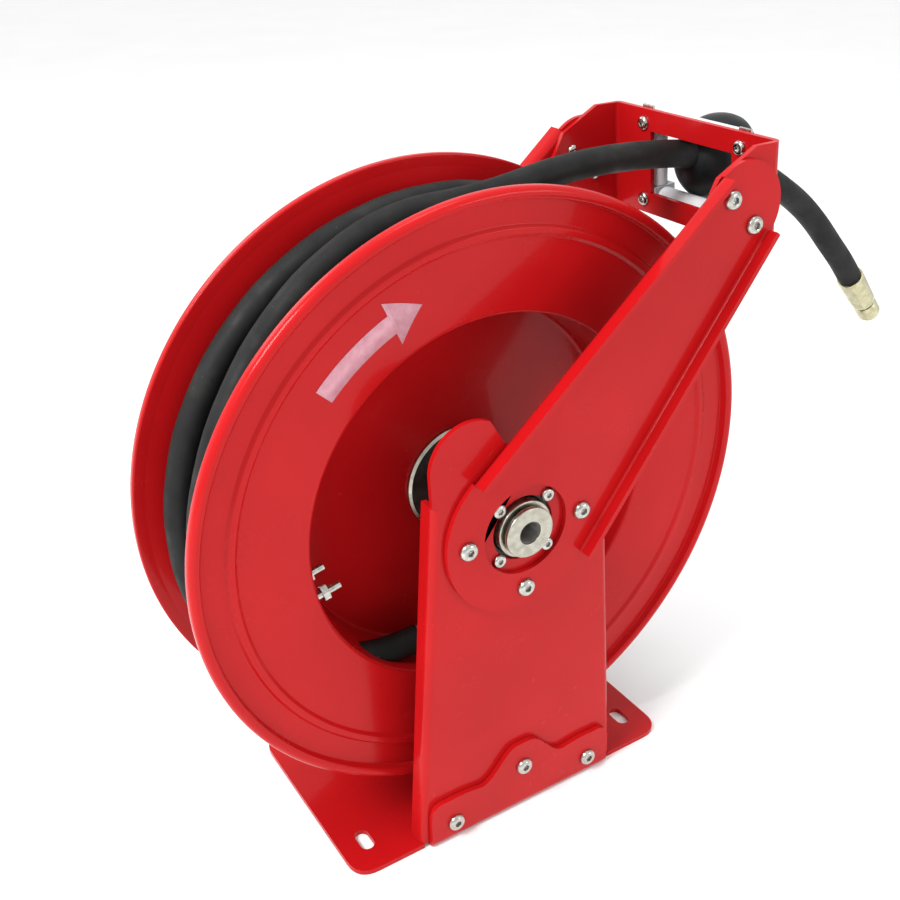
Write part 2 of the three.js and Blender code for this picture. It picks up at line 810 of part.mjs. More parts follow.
function inletSwivel() {
  const body = turned([
    [8.6, -105],
    [19.6, -105],
    [21, -103.6],
    [21, -101.4],
    [15, -101.2],
    [15, shaft.front - gap],
    [shaft.bore - gap, shaft.front - gap],
    [shaft.bore - gap, -84],
    [8.6, -84],
  ], 28);
  put(atAxis, "inlet_swivel", body, steel);
}

// ---------- hose ----------

// The free end's centre line: off the winding, through the rollers and the stop, and down.
const leadPoints = [
  [92, 12.5, 511.4],
  [118, 13.2, 513.4],
  [148, 14, 514],
  [180, 15, 512.6],
  [212, 15.6, 509.8],
  [244, 16.4, 505],
  [280, 17, 496.2],
  [318, 17.8, 482],
  [342, 18.4, 470],
  [366, 19, 455.5],
  [393, 19.4, 437],
  [417, 19.8, 416.5],
  [443, 20, 390],
  [465, 20, 367],
  [482, 20, 347],
];

const leadCurve = new THREE.CatmullRomCurve3(leadPoints.map(([x, y, z]) => new THREE.Vector3(x, y, z)));

// The lead's own tube, or a wider one that clears it.
function leadTube(clearance = 0) {
  return tubeAlong(leadCurve, hose.radius + clearance, 22, 10);
}

function hoseParts() {
  const round = 6;
  const { windingInner, windingOuter, windingHalf } = hose;
  const ring = turned([
    [windingInner, -windingHalf],
    [windingOuter - round, -windingHalf],
    [windingOuter, -windingHalf + round],
    [windingOuter, windingHalf - round],
    [windingOuter - round, windingHalf],
    [windingInner, windingHalf],
  ]);
  const clampPockets = [-1, 1].map((side) => clampRod(side, disc.wallFoot, clampTop + 4, 4));
  const ringPockets = [tubeAlong(tailCurve, hose.radius + 0.6, 12), ...clampPockets, clampBow(4)];
  put(atAxis, "hose_winding", cut(ring, ...ringPockets), rubber);
  put(part, "hose_lead", leadTube(), rubber);

  const outlet = new THREE.Group();
  outlet.position.copy(leadCurve.getPointAt(1));
  outlet.quaternion.setFromUnitVectors(new THREE.Vector3(0, 1, 0), leadCurve.getTangentAt(1));
  part.add(outlet);
  const ferrule = turned([[0, gap], [13.4, gap], [13.4, 6], [11.8, 40], [9, 43], [0, 43]], 20);
  put(outlet, "hose_ferrule", ferrule, brass);
  const nut = turned([[0, 43.4], [9, 43.4], [11.4, 46], [11.4, 60], [9, 64.5], [0, 64.5]], 16);
  put(outlet, "hose_end_nut", nut, brass);
}

// Two rubber halves clamped on the hose outside the rollers.
function stopBall() {
  const [x, y, z] = ball.centre;
  const reach = ball.radius + 5;
  const round = new THREE.SphereGeometry(ball.radius, 20, 12).rotateX(Math.PI / 2).translate(x, y, z);
  const hollow = cut(round, leadTube(0.4));
  for (const [name, side] of [["front", -1], ["rear", 1]]) {
    const halfSpace = slab(x - reach, x + reach, y, y + side * reach, z - reach, z + reach);
    const half = overlap(hollow, halfSpace.translate(0, (side * ball.seam) / 2, 0));
    put(part, `stop_ball_${name}`, half, ballRubber);
  }
}

// ---------- assembly ----------

put(part, "base_plate", basePlate(), paint);
putBothSides("pedestal", pedestalBody(), paint);
putBothSides("arm", armBody(), paint);
put(part, "roller_bracket", bracketBody(), paint);
rollerFrame();
bolts();
spool();
pawlParts(rewind());
frontBearing();
inletSwivel();
hoseParts();
stopBall();

export default part;
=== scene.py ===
"""Looks of a spring-rewind hose reel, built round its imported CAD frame. Metres, +Z up, axis along Y."""

import math

import bmesh
import bpy
from mathutils import Matrix, Vector


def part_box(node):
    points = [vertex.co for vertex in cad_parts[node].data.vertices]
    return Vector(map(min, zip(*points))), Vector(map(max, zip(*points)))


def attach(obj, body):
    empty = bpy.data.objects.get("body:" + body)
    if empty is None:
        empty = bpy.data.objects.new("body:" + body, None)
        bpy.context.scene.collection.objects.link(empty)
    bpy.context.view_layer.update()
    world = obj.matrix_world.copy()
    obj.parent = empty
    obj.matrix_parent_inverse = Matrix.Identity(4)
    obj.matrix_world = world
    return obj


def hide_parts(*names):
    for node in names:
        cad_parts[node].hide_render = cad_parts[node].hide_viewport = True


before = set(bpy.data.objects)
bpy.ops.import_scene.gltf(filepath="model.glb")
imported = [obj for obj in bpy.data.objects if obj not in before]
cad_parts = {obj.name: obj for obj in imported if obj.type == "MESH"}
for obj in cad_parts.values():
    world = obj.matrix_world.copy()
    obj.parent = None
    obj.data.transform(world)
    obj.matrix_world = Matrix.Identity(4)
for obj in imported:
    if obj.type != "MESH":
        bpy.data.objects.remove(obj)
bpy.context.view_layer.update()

MM = 0.001


def middle(node):
    low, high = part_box(node)
    return (low + high) / 2


def half_width(node):
    low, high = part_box(node)
    return (high.x - low.x) / 2


# ---------- places and sizes from the frame ----------

AXIS = Vector((0, 0, middle("front_disc").z))
DISC_RADIUS = half_width("front_disc")
DRUM_RADIUS = half_width("drum_shell")
SHEET = 4 * MM
PEDESTAL_FACE = -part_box("front_pedestal")[0].y
ARM_GAP = 0.3 * MM
ARM_BACK = PEDESTAL_FACE + ARM_GAP
BASE_LOW, BASE_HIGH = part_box("base_plate")
BASE_THICK = 4.5 * MM
FLANGE_FACE = -BASE_LOW.y

# ---------- camera ----------

CAMERA_PLACE = Vector((-0.4171, -0.6753, 0.7354))
CAMERA_AZIMUTH = math.radians(-31.41)
CAMERA_ELEVATION = math.radians(28.41)
CAMERA_ROLL = math.radians(-1.45)
LENS_MM = 44.62
SENSOR_MM = 36


def add_camera():
    back = Vector(
        (
            math.sin(CAMERA_AZIMUTH) * math.cos(CAMERA_ELEVATION),
            -math.cos(CAMERA_AZIMUTH) * math.cos(CAMERA_ELEVATION),
            math.sin(CAMERA_ELEVATION),
        )
    )
    right = Vector((math.cos(CAMERA_AZIMUTH), math.sin(CAMERA_AZIMUTH), 0))
    up = back.cross(right)
    turned_right = right * math.cos(CAMERA_ROLL) + up * math.sin(CAMERA_ROLL)
    turned_up = up * math.cos(CAMERA_ROLL) - right * math.sin(CAMERA_ROLL)
    data = bpy.data.cameras.new("camera")
    data.lens = LENS_MM
    data.sensor_width = SENSOR_MM
    camera = bpy.data.objects.new("camera", data)
    bpy.context.collection.objects.link(camera)
    turn = Matrix((turned_right, turned_up, back)).transposed().to_4x4()
    camera.matrix_world = Matrix.Translation(CAMERA_PLACE) @ turn
    bpy.context.scene.camera = camera


# ---------- materials ----------

CLOUD = (0.3, 0.7)  # where along a noise a cloud turns from its low value to its high one


class Look:
    """A material's node tree, with a few shorthands."""

    def __init__(self, name, roughness, metallic=0.0):
        self.material = bpy.data.materials.new(name)
        self.material.use_nodes = True
        tree = self.material.node_tree
        self.nodes = tree.nodes
        self.links = tree.links
        self.shader = self.nodes["Principled BSDF"]
        self.set("Roughness", roughness)
        self.set("Metallic", metallic)
        self.place = self.nodes.new("ShaderNodeTexCoord").outputs["Object"]

    def set(self, socket, value):
        self.shader.inputs[socket].default_value = value

    def feed(self, socket, output):
        self.links.new(output, self.shader.inputs[socket])

    def noise(self, scale, detail=3, roughness=0.5, stretch=(1, 1, 1)):
        mapping = self.nodes.new("ShaderNodeMapping")
        mapping.inputs["Scale"].default_value = stretch
        self.links.new(self.place, mapping.inputs["Vector"])
        noise = self.nodes.new("ShaderNodeTexNoise")
        noise.inputs["Scale"].default_value = scale
        noise.inputs["Detail"].default_value = detail
        noise.inputs["Roughness"].default_value = roughness
        self.links.new(mapping.outputs["Vector"], noise.inputs["Vector"])
        return noise.outputs["Fac"]

    def ramp(self, output, stops):
        """Colours, or greys, at positions along a 0 to 1 value."""
        ramp = self.nodes.new("ShaderNodeValToRGB")
        elements = ramp.color_ramp.elements
        while len(elements) < len(stops):
            elements.new(0.5)
        for element, (position, colour) in zip(elements, stops):
            element.position = position
            element.color = (*colour, 1) if isinstance(colour, tuple) else (colour, colour, colour, 1)
        self.links.new(output, ramp.inputs["Fac"])
        return ramp.outputs["Color"]

    def mix(self, factor, first, second):
        mix = self.nodes.new("ShaderNodeMix")
        mix.data_type = "RGBA"
        self.links.new(factor, mix.inputs["Factor"])
        self.links.new(first, mix.inputs["A"])
        self.links.new(second, mix.inputs["B"])
        return mix.outputs["Result"]

    def bump(self, output, distance, strength=1.0, below=None):
        bump = self.nodes.new("ShaderNodeBump")
        bump.inputs["Distance"].default_value = distance
        bump.inputs["Strength"].default_value = strength
        self.links.new(output, bump.inputs["Height"])
        if below:
            self.links.new(below, bump.inputs["Normal"])
        return bump.outputs["Normal"]

    def cloud(self, socket, scale, detail, low, high, roughness=0.5):
        """Feeds a socket a cloudy mix of two greys or two colours."""
        noise = self.noise(scale, detail, roughness)
        self.feed(socket, self.ramp(noise, [(CLOUD[0], low), (CLOUD[1], high)]))

    def grain(self, scale, detail, distance, strength):
        """Feeds the normal the fine bumps of one noise."""
        self.feed("Normal", self.bump(self.noise(scale, detail), distance, strength))


def red_paint():
    """Glossy red coat with a faint orange peel, mottle and a few dust specks."""
    look = Look("red_paint", 0.22)
    mottle = look.ramp(look.noise(9, 3), [(0.3, (0.40, 0.0052, 0.0068)), (0.7, (0.47, 0.0068, 0.0085))])
    specks = look.ramp(look.noise(420, 1), [(0.0, 0.0), (0.77, 0.0), (0.81, 0.3)])
    dust = look.ramp(look.noise(30, 2), [(0.0, (0.5, 0.03, 0.03)), (1.0, (0.55, 0.05, 0.05))])
    look.feed("Base Color", look.mix(specks, mottle, dust))
    smear = look.noise(24, 4, 0.6)
    look.feed("Roughness", look.ramp(smear, [(0.3, 0.2), (0.75, 0.3)]))
    look.set("Specular IOR Level", 0.1)
    look.set("Coat Weight", 0.14)
    look.set("Coat Roughness", 0.06)
    peel = look.bump(look.noise(260, 2), 0.00006, 0.6)
    look.feed("Normal", look.bump(look.noise(28, 2), 0.00025, 0.35, peel))
    look.feed("Coat Normal", peel)
    return look.material


def zinc():
    """Bright zinc plate: grey metal with a fine cloudy grain."""
    look = Look("zinc", 0.22, 1.0)
    look.cloud("Base Color", 300, 3, (0.36, 0.36, 0.33), (0.56, 0.56, 0.52))
    look.cloud("Roughness", 500, 2, 0.14, 0.3)
    look.grain(1500, 2, 0.00003, 0.5)
    return look.material


def turned_steel():
    """Machined steel with rings left by the tool and a light yellowish oil film."""
    look = Look("turned_steel", 0.3, 1.0)
    look.cloud("Base Color", 160, 3, (0.34, 0.333, 0.275), (0.5, 0.49, 0.42))
    look.cloud("Roughness", 220, 3, 0.24, 0.42)
    rings = look.noise(1, 2, 0.5, (300, 2600, 300))
    look.feed("Normal", look.bump(rings, 0.00003, 0.6))
    return look.material


def dark_steel():
    """Phosphated or mill-dark steel with grease smears."""
    look = Look("dark_steel", 0.45, 0.85)
    look.cloud("Base Color", 70, 4, (0.05, 0.047, 0.043), (0.12, 0.115, 0.105))
    look.cloud("Roughness", 110, 3, 0.32, 0.55)
    look.grain(900, 2, 0.00005, 0.5)
    return look.material


def hose_rubber():
    """Matt black rubber cover, fine wrapped texture, with grey scuffs and pale dust specks."""
    look = Look("hose_rubber", 0.62)
    scuff = look.ramp(
        look.noise(26, 5, 0.62),
        [(0.3, (0.006, 0.0066, 0.0064)), (0.55, (0.010, 0.0105, 0.0102)), (0.8, (0.026, 0.026, 0.024))],
    )
    specks = look.ramp(look.noise(520, 1), [(0.0, 0.0), (0.78, 0.0), (0.82, 0.3)])
    chalk = look.ramp(look.noise(40, 2), [(0.0, (0.2, 0.2, 0.19)), (1.0, (0.3, 0.3, 0.28))])
    look.feed("Base Color", look.mix(specks, scuff, chalk))
    look.cloud("Roughness", 60, 3, 0.5, 0.72)
    look.set("Specular IOR Level", 0.22)
    cloth = look.bump(look.noise(1400, 2), 0.00012, 0.55)
    look.feed("Normal", look.bump(look.noise(90, 3), 0.0003, 0.4, cloth))
    return look.material


def ball_rubber():
    """Satin moulded black rubber."""
    look = Look("ball_rubber", 0.4)
    look.cloud("Base Color", 40, 4, (0.003, 0.004, 0.0042), (0.007, 0.009, 0.0095))
    look.set("Specular IOR Level", 0.25)
    look.cloud("Roughness", 70, 3, 0.34, 0.5)
    look.grain(800, 2, 0.00006, 0.5)
    return look.material


def pale_plastic(name, dark, light):
    """Moulded pale plastic with a faint cloud and fine grain."""
    look = Look(name, 0.4)
    look.cloud("Base Color", 60, 3, dark, light)
    look.cloud("Roughness", 90, 3, 0.34, 0.5)
    look.grain(1100, 2, 0.00004, 0.5)
    return look.material


def yellow_zinc():
    """Pale yellow zinc plate of the hose's crimped end."""
    look = Look("yellow_zinc", 0.3, 1.0)
    look.cloud("Base Color", 140, 3, (0.42, 0.39, 0.22), (0.60, 0.57, 0.40))
    look.cloud("Roughness", 260, 3, 0.22, 0.4)
    look.grain(900, 2, 0.00004, 0.5)
    return look.material


def decal():
    """Faded film of the direction arrow, with fine wrinkles."""
    look = Look("arrow_film", 0.35)
    look.cloud("Base Color", 180, 4, (0.52, 0.22, 0.27), (0.62, 0.32, 0.38), 0.6)
    look.cloud("Roughness", 200, 2, 0.3, 0.5)
    look.grain(400, 3, 0.00008, 0.5)
    return look.material


def floor_material():
    look = Look("floor", 0.7)
    look.cloud("Base Color", 3, 2, 0.92, 0.94)
    look.set("Specular IOR Level", 0.1)
    return look.material


PAINT = red_paint()
ZINC = zinc()
STEEL = turned_steel()
DARK = dark_steel()
RUBBER = hose_rubber()
BALL = ball_rubber()
NYLON = pale_plastic("white_nylon", (0.62, 0.63, 0.64), (0.78, 0.79, 0.8))
BLOCK = pale_plastic("grey_block", (0.36, 0.37, 0.39), (0.5, 0.51, 0.53))
BRASS = yellow_zinc()
DECAL = decal()

# ---------- mesh tools ----------

SHARP = 35  # degrees between faces beyond which their edge is shaded sharp
FLAT_WITHIN = 0.6  # degrees between faces that are merged as one
BEVEL_FROM = 32  # degrees between faces beyond which their edge is bevelled
FOLDED_EDGE = 0.5 * MM  # bevel on the edges of the folded sheet metal
ORIGIN = Vector((0, 0, 0))
SQUARE = ((-1, -1), (1, -1), (1, 1), (-1, 1))


def rounded(corners, steps=4):
    """Points of a closed outline whose corners are (a, b, rounding radius)."""
    points = []
    for i, (a, b, radius) in enumerate(corners):
        corner = Vector((a, b))
        if not radius:
            points.append(corner)
            continue
        before = Vector(corners[i - 1][:2]) - corner
        after = Vector(corners[(i + 1) % len(corners)][:2]) - corner
        reach = radius / math.tan(before.angle(after) / 2)
        start = corner + before.normalized() * reach
        end = corner + after.normalized() * reach
        for k in range(steps + 1):
            t = k / steps
            points.append(start * (1 - t) ** 2 + corner * 2 * t * (1 - t) + end * t**2)
    return points


def new_object(name, vertices, faces, material, sharp=SHARP):
    """A mesh object with shared points merged, faces turned outwards and smooth shading up to an angle."""
    mesh = bpy.data.meshes.new(name)
    shape = bmesh.new()
    corners = [shape.verts.new(v) for v in vertices]
    for face in faces:
        shape.faces.new([corners[i] for i in face])
    bmesh.ops.remove_doubles(shape, verts=shape.verts, dist=1e-7)
    bmesh.ops.recalc_face_normals(shape, faces=shape.faces)
    shape.to_mesh(mesh)
    shape.free()
    mesh.shade_smooth()
    mesh.set_sharp_from_angle(angle=math.radians(sharp))
    mesh.materials.append(material)
    made = bpy.data.objects.new(name, mesh)
    bpy.context.collection.objects.link(made)
    return made


def turned(name, profile, material, centre=AXIS, segments=160, axis="Y"):
    """A closed outline of (radius, distance along the axis, rounding) turned about an axis through centre."""
    points = rounded(profile)
    count = len(points)
    vertices = []
    for s in range(segments):
        turn = 2 * math.pi * s / segments
        for p in points:
            across = (p.x * math.cos(turn), p.x * math.sin(turn))
            if axis == "Y":
                vertices.append(centre + Vector((across[0], p.y, across[1])))
            else:
                vertices.append(centre + Vector((across[0], across[1], p.y)))
    faces = []
    for s in range(segments):
        here = s * count
        there = (s + 1) % segments * count
        for i in range(count):
            j = (i + 1) % count
            on_axis = points[i].x < 1e-9 and points[j].x < 1e-9
            if not on_axis:
                faces.append((here + i, here + j, there + j, there + i))
    return new_object(name, vertices, faces, material)


def swept(name, sections, material):
    """A solid through a list of matching closed rings of points, capped at both ends."""
    count = len(sections[0])
    vertices = [point for ring in sections for point in ring]
    faces = [tuple(range(count)), tuple(range(len(vertices) - count, len(vertices)))]
    for s in range(len(sections) - 1):
        for i in range(count):
            j = (i + 1) % count
            faces.append((s * count + i, s * count + j, (s + 1) * count + j, (s + 1) * count + i))
    return new_object(name, vertices, faces, material)


def upright(name, points, low, high, material):
    """An outline of (x, z) filled from y = low to y = high."""
    rings = [[Vector((p[0], y, p[1])) for p in points] for y in (low, high)]
    return swept(name, rings, material)


def level(name, points, low, high, material):
    """An outline of (x, y) filled from z = low to z = high."""
    rings = [[Vector((p[0], p[1], z)) for p in points] for z in (low, high)]
    return swept(name, rings, material)


def arc(x, z, radius, start, end, steps):
    """Points on an arc, angles in degrees."""
    points = []
    for i in range(steps + 1):
        turn = math.radians(start + (end - start) * i / steps)
        points.append((x + radius * math.cos(turn), z + radius * math.sin(turn)))
    return points


def rod(name, start, end, radius, material, sides):
    """A plain rod between two points."""
    along = (end - start).normalized()
    side = along.orthogonal().normalized()
    other = along.cross(side)
    rings = []
    for place in (start, end):
        ring = []
        for i in range(sides):
            turn = 2 * math.pi * i / sides
            ring.append(place + radius * (side * math.cos(turn) + other * math.sin(turn)))
        rings.append(ring)
    return swept(name, rings, material)


def fused(name, pieces, cutters=(), merge=True):
    """One solid from overlapping pieces, less the cutters, with its edges softened."""
    whole = pieces[0]
    tools = [(piece, "UNION") for piece in pieces[1:]] + [(cutter, "DIFFERENCE") for cutter in cutters]
    for tool, operation in tools:
        step = whole.modifiers.new(operation, "BOOLEAN")
        step.operation = operation
        step.solver = "EXACT"
        step.object = tool
    bpy.context.view_layer.update()
    ready = whole.evaluated_get(bpy.context.evaluated_depsgraph_get())
    mesh = bpy.data.meshes.new_from_object(ready)
    whole.modifiers.clear()
    whole.data = mesh
    whole.name = name
    for tool, _ in tools:
        bpy.data.objects.remove(tool)
    bpy.context.view_layer.update()
    soften_edges(whole, FOLDED_EDGE, merge=merge)
    return whole


def soften_edges(piece, width, segments=2, merge=True):
    """Merges flat faces, unless they surround a window, then bevels the sharp edges."""
    if merge:
        flat = piece.modifiers.new("flat", "DECIMATE")
        flat.decimate_type = "DISSOLVE"
        flat.angle_limit = math.radians(FLAT_WITHIN)
    bevel = piece.modifiers.new("bevel", "BEVEL")
    bevel.width = width
    bevel.segments = segments
    bevel.limit_method = "ANGLE"
    bevel.angle_limit = math.radians(BEVEL_FROM)
    bevel.harden_normals = True
    bevel.miter_outer = "MITER_ARC"


def mirrored(piece, name):
    """A copy of a front piece, mirrored to the rear."""
    mesh = piece.data.copy()
    mesh.transform(Matrix.Scale(-1, 4, (0, 1, 0)))
    mesh.flip_normals()
    copy = bpy.data.objects.new(name, mesh)
    bpy.context.collection.objects.link(copy)
    for step in piece.modifiers:
        twin = copy.modifiers.new(step.name, step.type)
        for key in ("decimate_type", "angle_limit", "width", "segments", "limit_method", "harden_normals"):
            if hasattr(step, key):
                setattr(twin, key, getattr(step, key))
    return copy


def stands_for(piece, body, *nodes):
    """The piece rides on a body and is shown in place of CAD nodes."""
    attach(piece, body)
    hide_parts(*nodes)


# ---------- hose ----------

HOSE_RADIUS = 11.4 * MM
TURN_PITCH = 23.25 * MM
LAYER_PITCH = 23 * MM
DRUM_GAP = 0.5 * MM
LAYER_RADII = [DRUM_RADIUS + HOSE_RADIUS + DRUM_GAP + LAYER_PITCH * i for i in range(3)]
SLOTS = [TURN_PITCH * (i - 1.5) for i in range(4)]  # y of the turns, front to rear
TURN_START = -150.0  # degrees: where the inner end joins the drum, and where each turn ends
OUTER_Y = {0: -38.4 * MM, 3: 30.5 * MM}
KNOT_STEP = 15  # degrees between the knots of a turn
CROSSING = 62.0  # degrees that a turn takes to move to the next slot
FAR_CROSSING = 86.0  # degrees that it takes to move over more than one slot
FAR_SINK = 15 * MM  # how far such a long crossing sinks on its way
TAIL_EASE = 90  # degrees in which the first turn comes over from the hose's inner end
LAST_PLACE = (1, 3)  # where the last turn ends, hidden under the outer ones
LAST_LIFT = 2 * MM
TAIL_Y = middle("tail_ferrule").y
TAIL_ROUTE = [(-62, -120.4), (-91, -119.8), (-112, -115), (-133, -104)]
LEAD_ROUTE = [
    (58, 12, 506.8),
    (92, 12.5, 511.4),
    (118, 13.2, 513.4),
    (148, 14, 514),
    (180, 15, 512.6),
    (212, 15.6, 509.8),
    (244, 16.4, 505),
    (280, 17, 496.2),
    (318, 17.8, 482),
    (342, 18.4, 470),
    (366, 19, 455.5),
    (393, 19.4, 437),
    (417, 19.8, 416.5),
    (443, 20, 390),
    (465, 20, 367),
    (482, 20, 347),
]


def eased(t):
    t = min(max(t, 0), 1)
    return t * t * (3 - 2 * t)


def on_spool(degrees, radius, y):
    turn = math.radians(degrees)
    return AXIS + Vector((radius * math.cos(turn), y, radius * math.sin(turn)))


def coil_places():
    """(layer, slot) of each turn, from the drum outwards: back and forth, then one turn each side."""
    return [(0, i) for i in range(4)] + [(1, i) for i in (3, 2, 1, 0)] + [(2, 0), (2, 3)]


def slot_y(layer, slot):
    """The two loose outer turns lie a little forward of the slots below them."""
    return OUTER_Y[slot] if layer == 2 else SLOTS[slot]


def coil_points():
    points = [AXIS + Vector((x * MM, TAIL_Y, z * MM)) for x, z in TAIL_ROUTE]
    places = coil_places()
    for turn, (layer, slot) in enumerate(places):
        next_layer, next_slot = places[turn + 1] if turn + 1 < len(places) else LAST_PLACE
        far = abs(next_slot - slot) > 1
        span = FAR_CROSSING if far else CROSSING
        for degrees in range(0, 360, KNOT_STEP):
            t = eased((degrees - (360 - span)) / span)
            radius = LAYER_RADII[layer] + (LAYER_RADII[next_layer] - LAYER_RADII[layer]) * t
            if far:
                radius -= FAR_SINK * math.sin(math.pi * t) ** 2
            y = slot_y(layer, slot) * (1 - t) + slot_y(next_layer, next_slot) * t
            if turn == 0:
                y += (TAIL_Y - SLOTS[0]) * (1 - eased(degrees / TAIL_EASE))
            points.append(on_spool(TURN_START - degrees, radius, y))
    points.append(on_spool(TURN_START, LAYER_RADII[1] + LAST_LIFT, SLOTS[3]))
    return points


LEAD_START = -95.0  # degrees: hidden at the bottom, under the outer turns
LEAD_LEAVES = -276.0
LEAD_SIDE_Y = -17.4 * MM  # y of the last half turn on the left, and at the top where it leaves
LEAD_TOP_Y = 11.8 * MM
LEAD_DRIFT = (-196.0, -272.0)  # degrees between which it moves from one to the other
LEAD_RISE = 50  # degrees in which it comes up from under the outer turns
LEAD_SINK = LAYER_PITCH * 0.9  # how deep it lies where it starts
LEAD_LIFT = 0.6 * MM
LEAD_TOP_LIFT = 0.8 * MM


def lead_points():
    """The last half turn on the spool, over the top, through the rollers and the stop, and down."""
    points = []
    degrees = LEAD_START
    while degrees > LEAD_LEAVES + KNOT_STEP / 2:
        sunk = 1 - eased((LEAD_START - degrees) / LEAD_RISE)
        radius = LAYER_RADII[2] + LEAD_LIFT - LEAD_SINK * sunk
        t = eased((LEAD_DRIFT[0] - degrees) / (LEAD_DRIFT[0] - LEAD_DRIFT[1]))
        points.append(on_spool(degrees, radius, LEAD_SIDE_Y + (LEAD_TOP_Y - LEAD_SIDE_Y) * t))
        degrees -= KNOT_STEP
    points.append(on_spool(LEAD_LEAVES, LAYER_RADII[2] + LEAD_TOP_LIFT, LEAD_TOP_Y))
    points += [Vector((x, y, z)) * MM for x, y, z in LEAD_ROUTE]
    return points


def hose_curve(name, points):
    data = bpy.data.curves.new(name, "CURVE")
    data.dimensions = "3D"
    data.bevel_depth = HOSE_RADIUS
    data.bevel_resolution = 6
    data.resolution_u = 4
    data.use_fill_caps = True
    spline = data.splines.new("BEZIER")
    spline.bezier_points.add(len(points) - 1)
    for knot, point in zip(spline.bezier_points, points):
        knot.co = point
        knot.handle_left_type = knot.handle_right_type = "AUTO"
    data.materials.append(RUBBER)
    made = bpy.data.objects.new(name, data)
    bpy.context.collection.objects.link(made)
    return made


def add_hose():
    wound_route = coil_points()
    wound = hose_curve("wound_hose", wound_route)
    stands_for(wound, "spool", "hose_winding", "hose_tail")
    lead_route = lead_points()
    lead = hose_curve("hose_end", lead_route)
    stands_for(lead, "frame", "hose_lead")
    fittings = hose_end(lead_route)


def facing(piece, start, along):
    """Turns and moves a piece made along +Z at the origin so that it points along a direction."""
    turn = Vector((0, 0, 1)).rotation_difference(along.normalized()).to_matrix().to_4x4()
    piece.data.transform(Matrix.Translation(start) @ turn)
    return piece


CRIMP_JAWS = 8
CRIMP_DEPTH = 0.035  # of the radius
CRIMP_INSIDE = 10.2 * MM  # radius within which the jaws leave no mark
CRIMP_START = 3 * MM
CRIMP_RUN_IN = 6 * MM


def crimped_ferrule(name, profile, material):
    """A ferrule along +Z whose sides are pressed in by the crimping jaws."""
    made = turned(name, profile, material, ORIGIN, 96, "Z")
    for vertex in made.data.vertices:
        across = Vector((vertex.co.x, vertex.co.y))
        if across.length < CRIMP_INSIDE:
            continue
        angle = math.atan2(across.y, across.x)
        ridge = abs(math.cos(angle * CRIMP_JAWS / 2)) ** 6
        press = 1 - CRIMP_DEPTH * (1 - ridge) * eased((vertex.co.z - CRIMP_START) / CRIMP_RUN_IN)
        vertex.co.x *= press
        vertex.co.y *= press
    return made


def millimetres(profile):
    """A profile given in millimetres, in metres."""
    return [tuple(value * MM for value in corner) for corner in profile]


# The end's fittings: (radius, distance along the hose, rounding), in mm.
FERRULE = [(0, 0.4, 0), (13.2, 0.4, 0.8), (13.2, 8, 1), (12.2, 38, 1), (11.2, 43, 1), (0, 43, 0)]
END_NUT = [(0, 43, 0), (8, 43, 0), (8, 45, 0), (10.2, 45.5, 1.2), (11.4, 49, 1), (11.4, 60, 2)]
END_NUT += [(9.2, 64.3, 1), (6.2, 64.3, 0.4), (6.2, 52, 0), (0, 52, 0)]


def hose_end(route):
    along = route[-1] - route[-2]
    tip = route[-1]
    ferrule = crimped_ferrule("crimped_ferrule", millimetres(FERRULE), BRASS)
    stands_for(facing(ferrule, tip, along), "frame", "hose_ferrule")
    nut = turned("end_nut", millimetres(END_NUT), BRASS, ORIGIN, 96, "Z")
    stands_for(facing(nut, tip, along), "frame", "hose_end_nut")
    return [ferrule, nut, *stop_ball()]


BALL_SEAM = 4 * MM  # how far beyond the middle the stop's two parts meet
BALL_GAP = 0.8 * MM
BALL_STEP = 2.4 * MM  # how much smaller the far part is
BALL_SHIFT = 0.3 * MM
DOME_STEPS = 16


def dome(radius, start, end):
    """Profile of a slice of a ball between two distances along its axis, closed with flat faces."""
    first = math.asin(max(min(start / radius, 1), -1))
    last = math.asin(max(min(end / radius, 1), -1))
    profile = [(0, start, 0)]
    for i in range(DOME_STEPS + 1):
        turn = first + (last - first) * i / DOME_STEPS
        profile.append((radius * math.cos(turn), radius * math.sin(turn), 0))
    profile.append((0, end, 0))
    return profile


def stop_ball():
    """The ball stop in two parts that meet on a plane square to the hose."""
    low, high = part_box("stop_ball_front")
    centre = Vector(((low.x + high.x) / 2, high.y + BALL_SHIFT, (low.z + high.z) / 2))
    radius = (high.z - low.z) / 2
    along = Vector(LEAD_ROUTE[8]) - Vector(LEAD_ROUTE[6])
    near = turned("stop_ball_near", dome(radius, -radius, BALL_SEAM), BALL, ORIGIN, 96, "Z")
    far_radius = radius - BALL_STEP
    far_profile = dome(far_radius, BALL_SEAM + BALL_GAP, far_radius)
    far = turned("stop_ball_far", far_profile, BALL, ORIGIN, 96, "Z")
    stands_for(facing(near, centre, along), "frame", "stop_ball_front", "stop_ball_rear")
    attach(facing(far, centre, along), "frame")
    return [near, far]


add_camera()
add_hose()

# ---------- spool ----------

FRONT_FLOOR = -1 * MM
REAR_FLOOR = 3.3 * MM
BEAD = 4.8 * MM
FACE_BACK = 7.4 * MM  # the flat face's depth behind the rim's outermost point
RIB_RADIUS = 217 * MM
MOUTH_RADIUS = 155.5 * MM
MOUTH_Y = 50 * MM
WALL_FOOT = 150.5 * MM
DISC_SHEET = 2 * MM
SHAFT_HOLE = 17 * MM
RIB_START = RIB_RADIUS - 5 * MM
RIB_CORNERS = [(-5, -1.6), (-2.5, 0.8), (2, 1), (4.5, -1.4)]  # mm from the rib's radius and the face
RIB_ROUND = 1.5 * MM
WALL_ROUND = 4 * MM
DRUM_HALF = 46.6 * MM
DRUM_SHEET = 2 * MM
HUB_PLATE = [(15.3, -5, 0), (44.2, -5, 0.3), (46, -3.6, 0.3), (46, -1.3, 0), (15.3, -1.3, 0)]  # mm
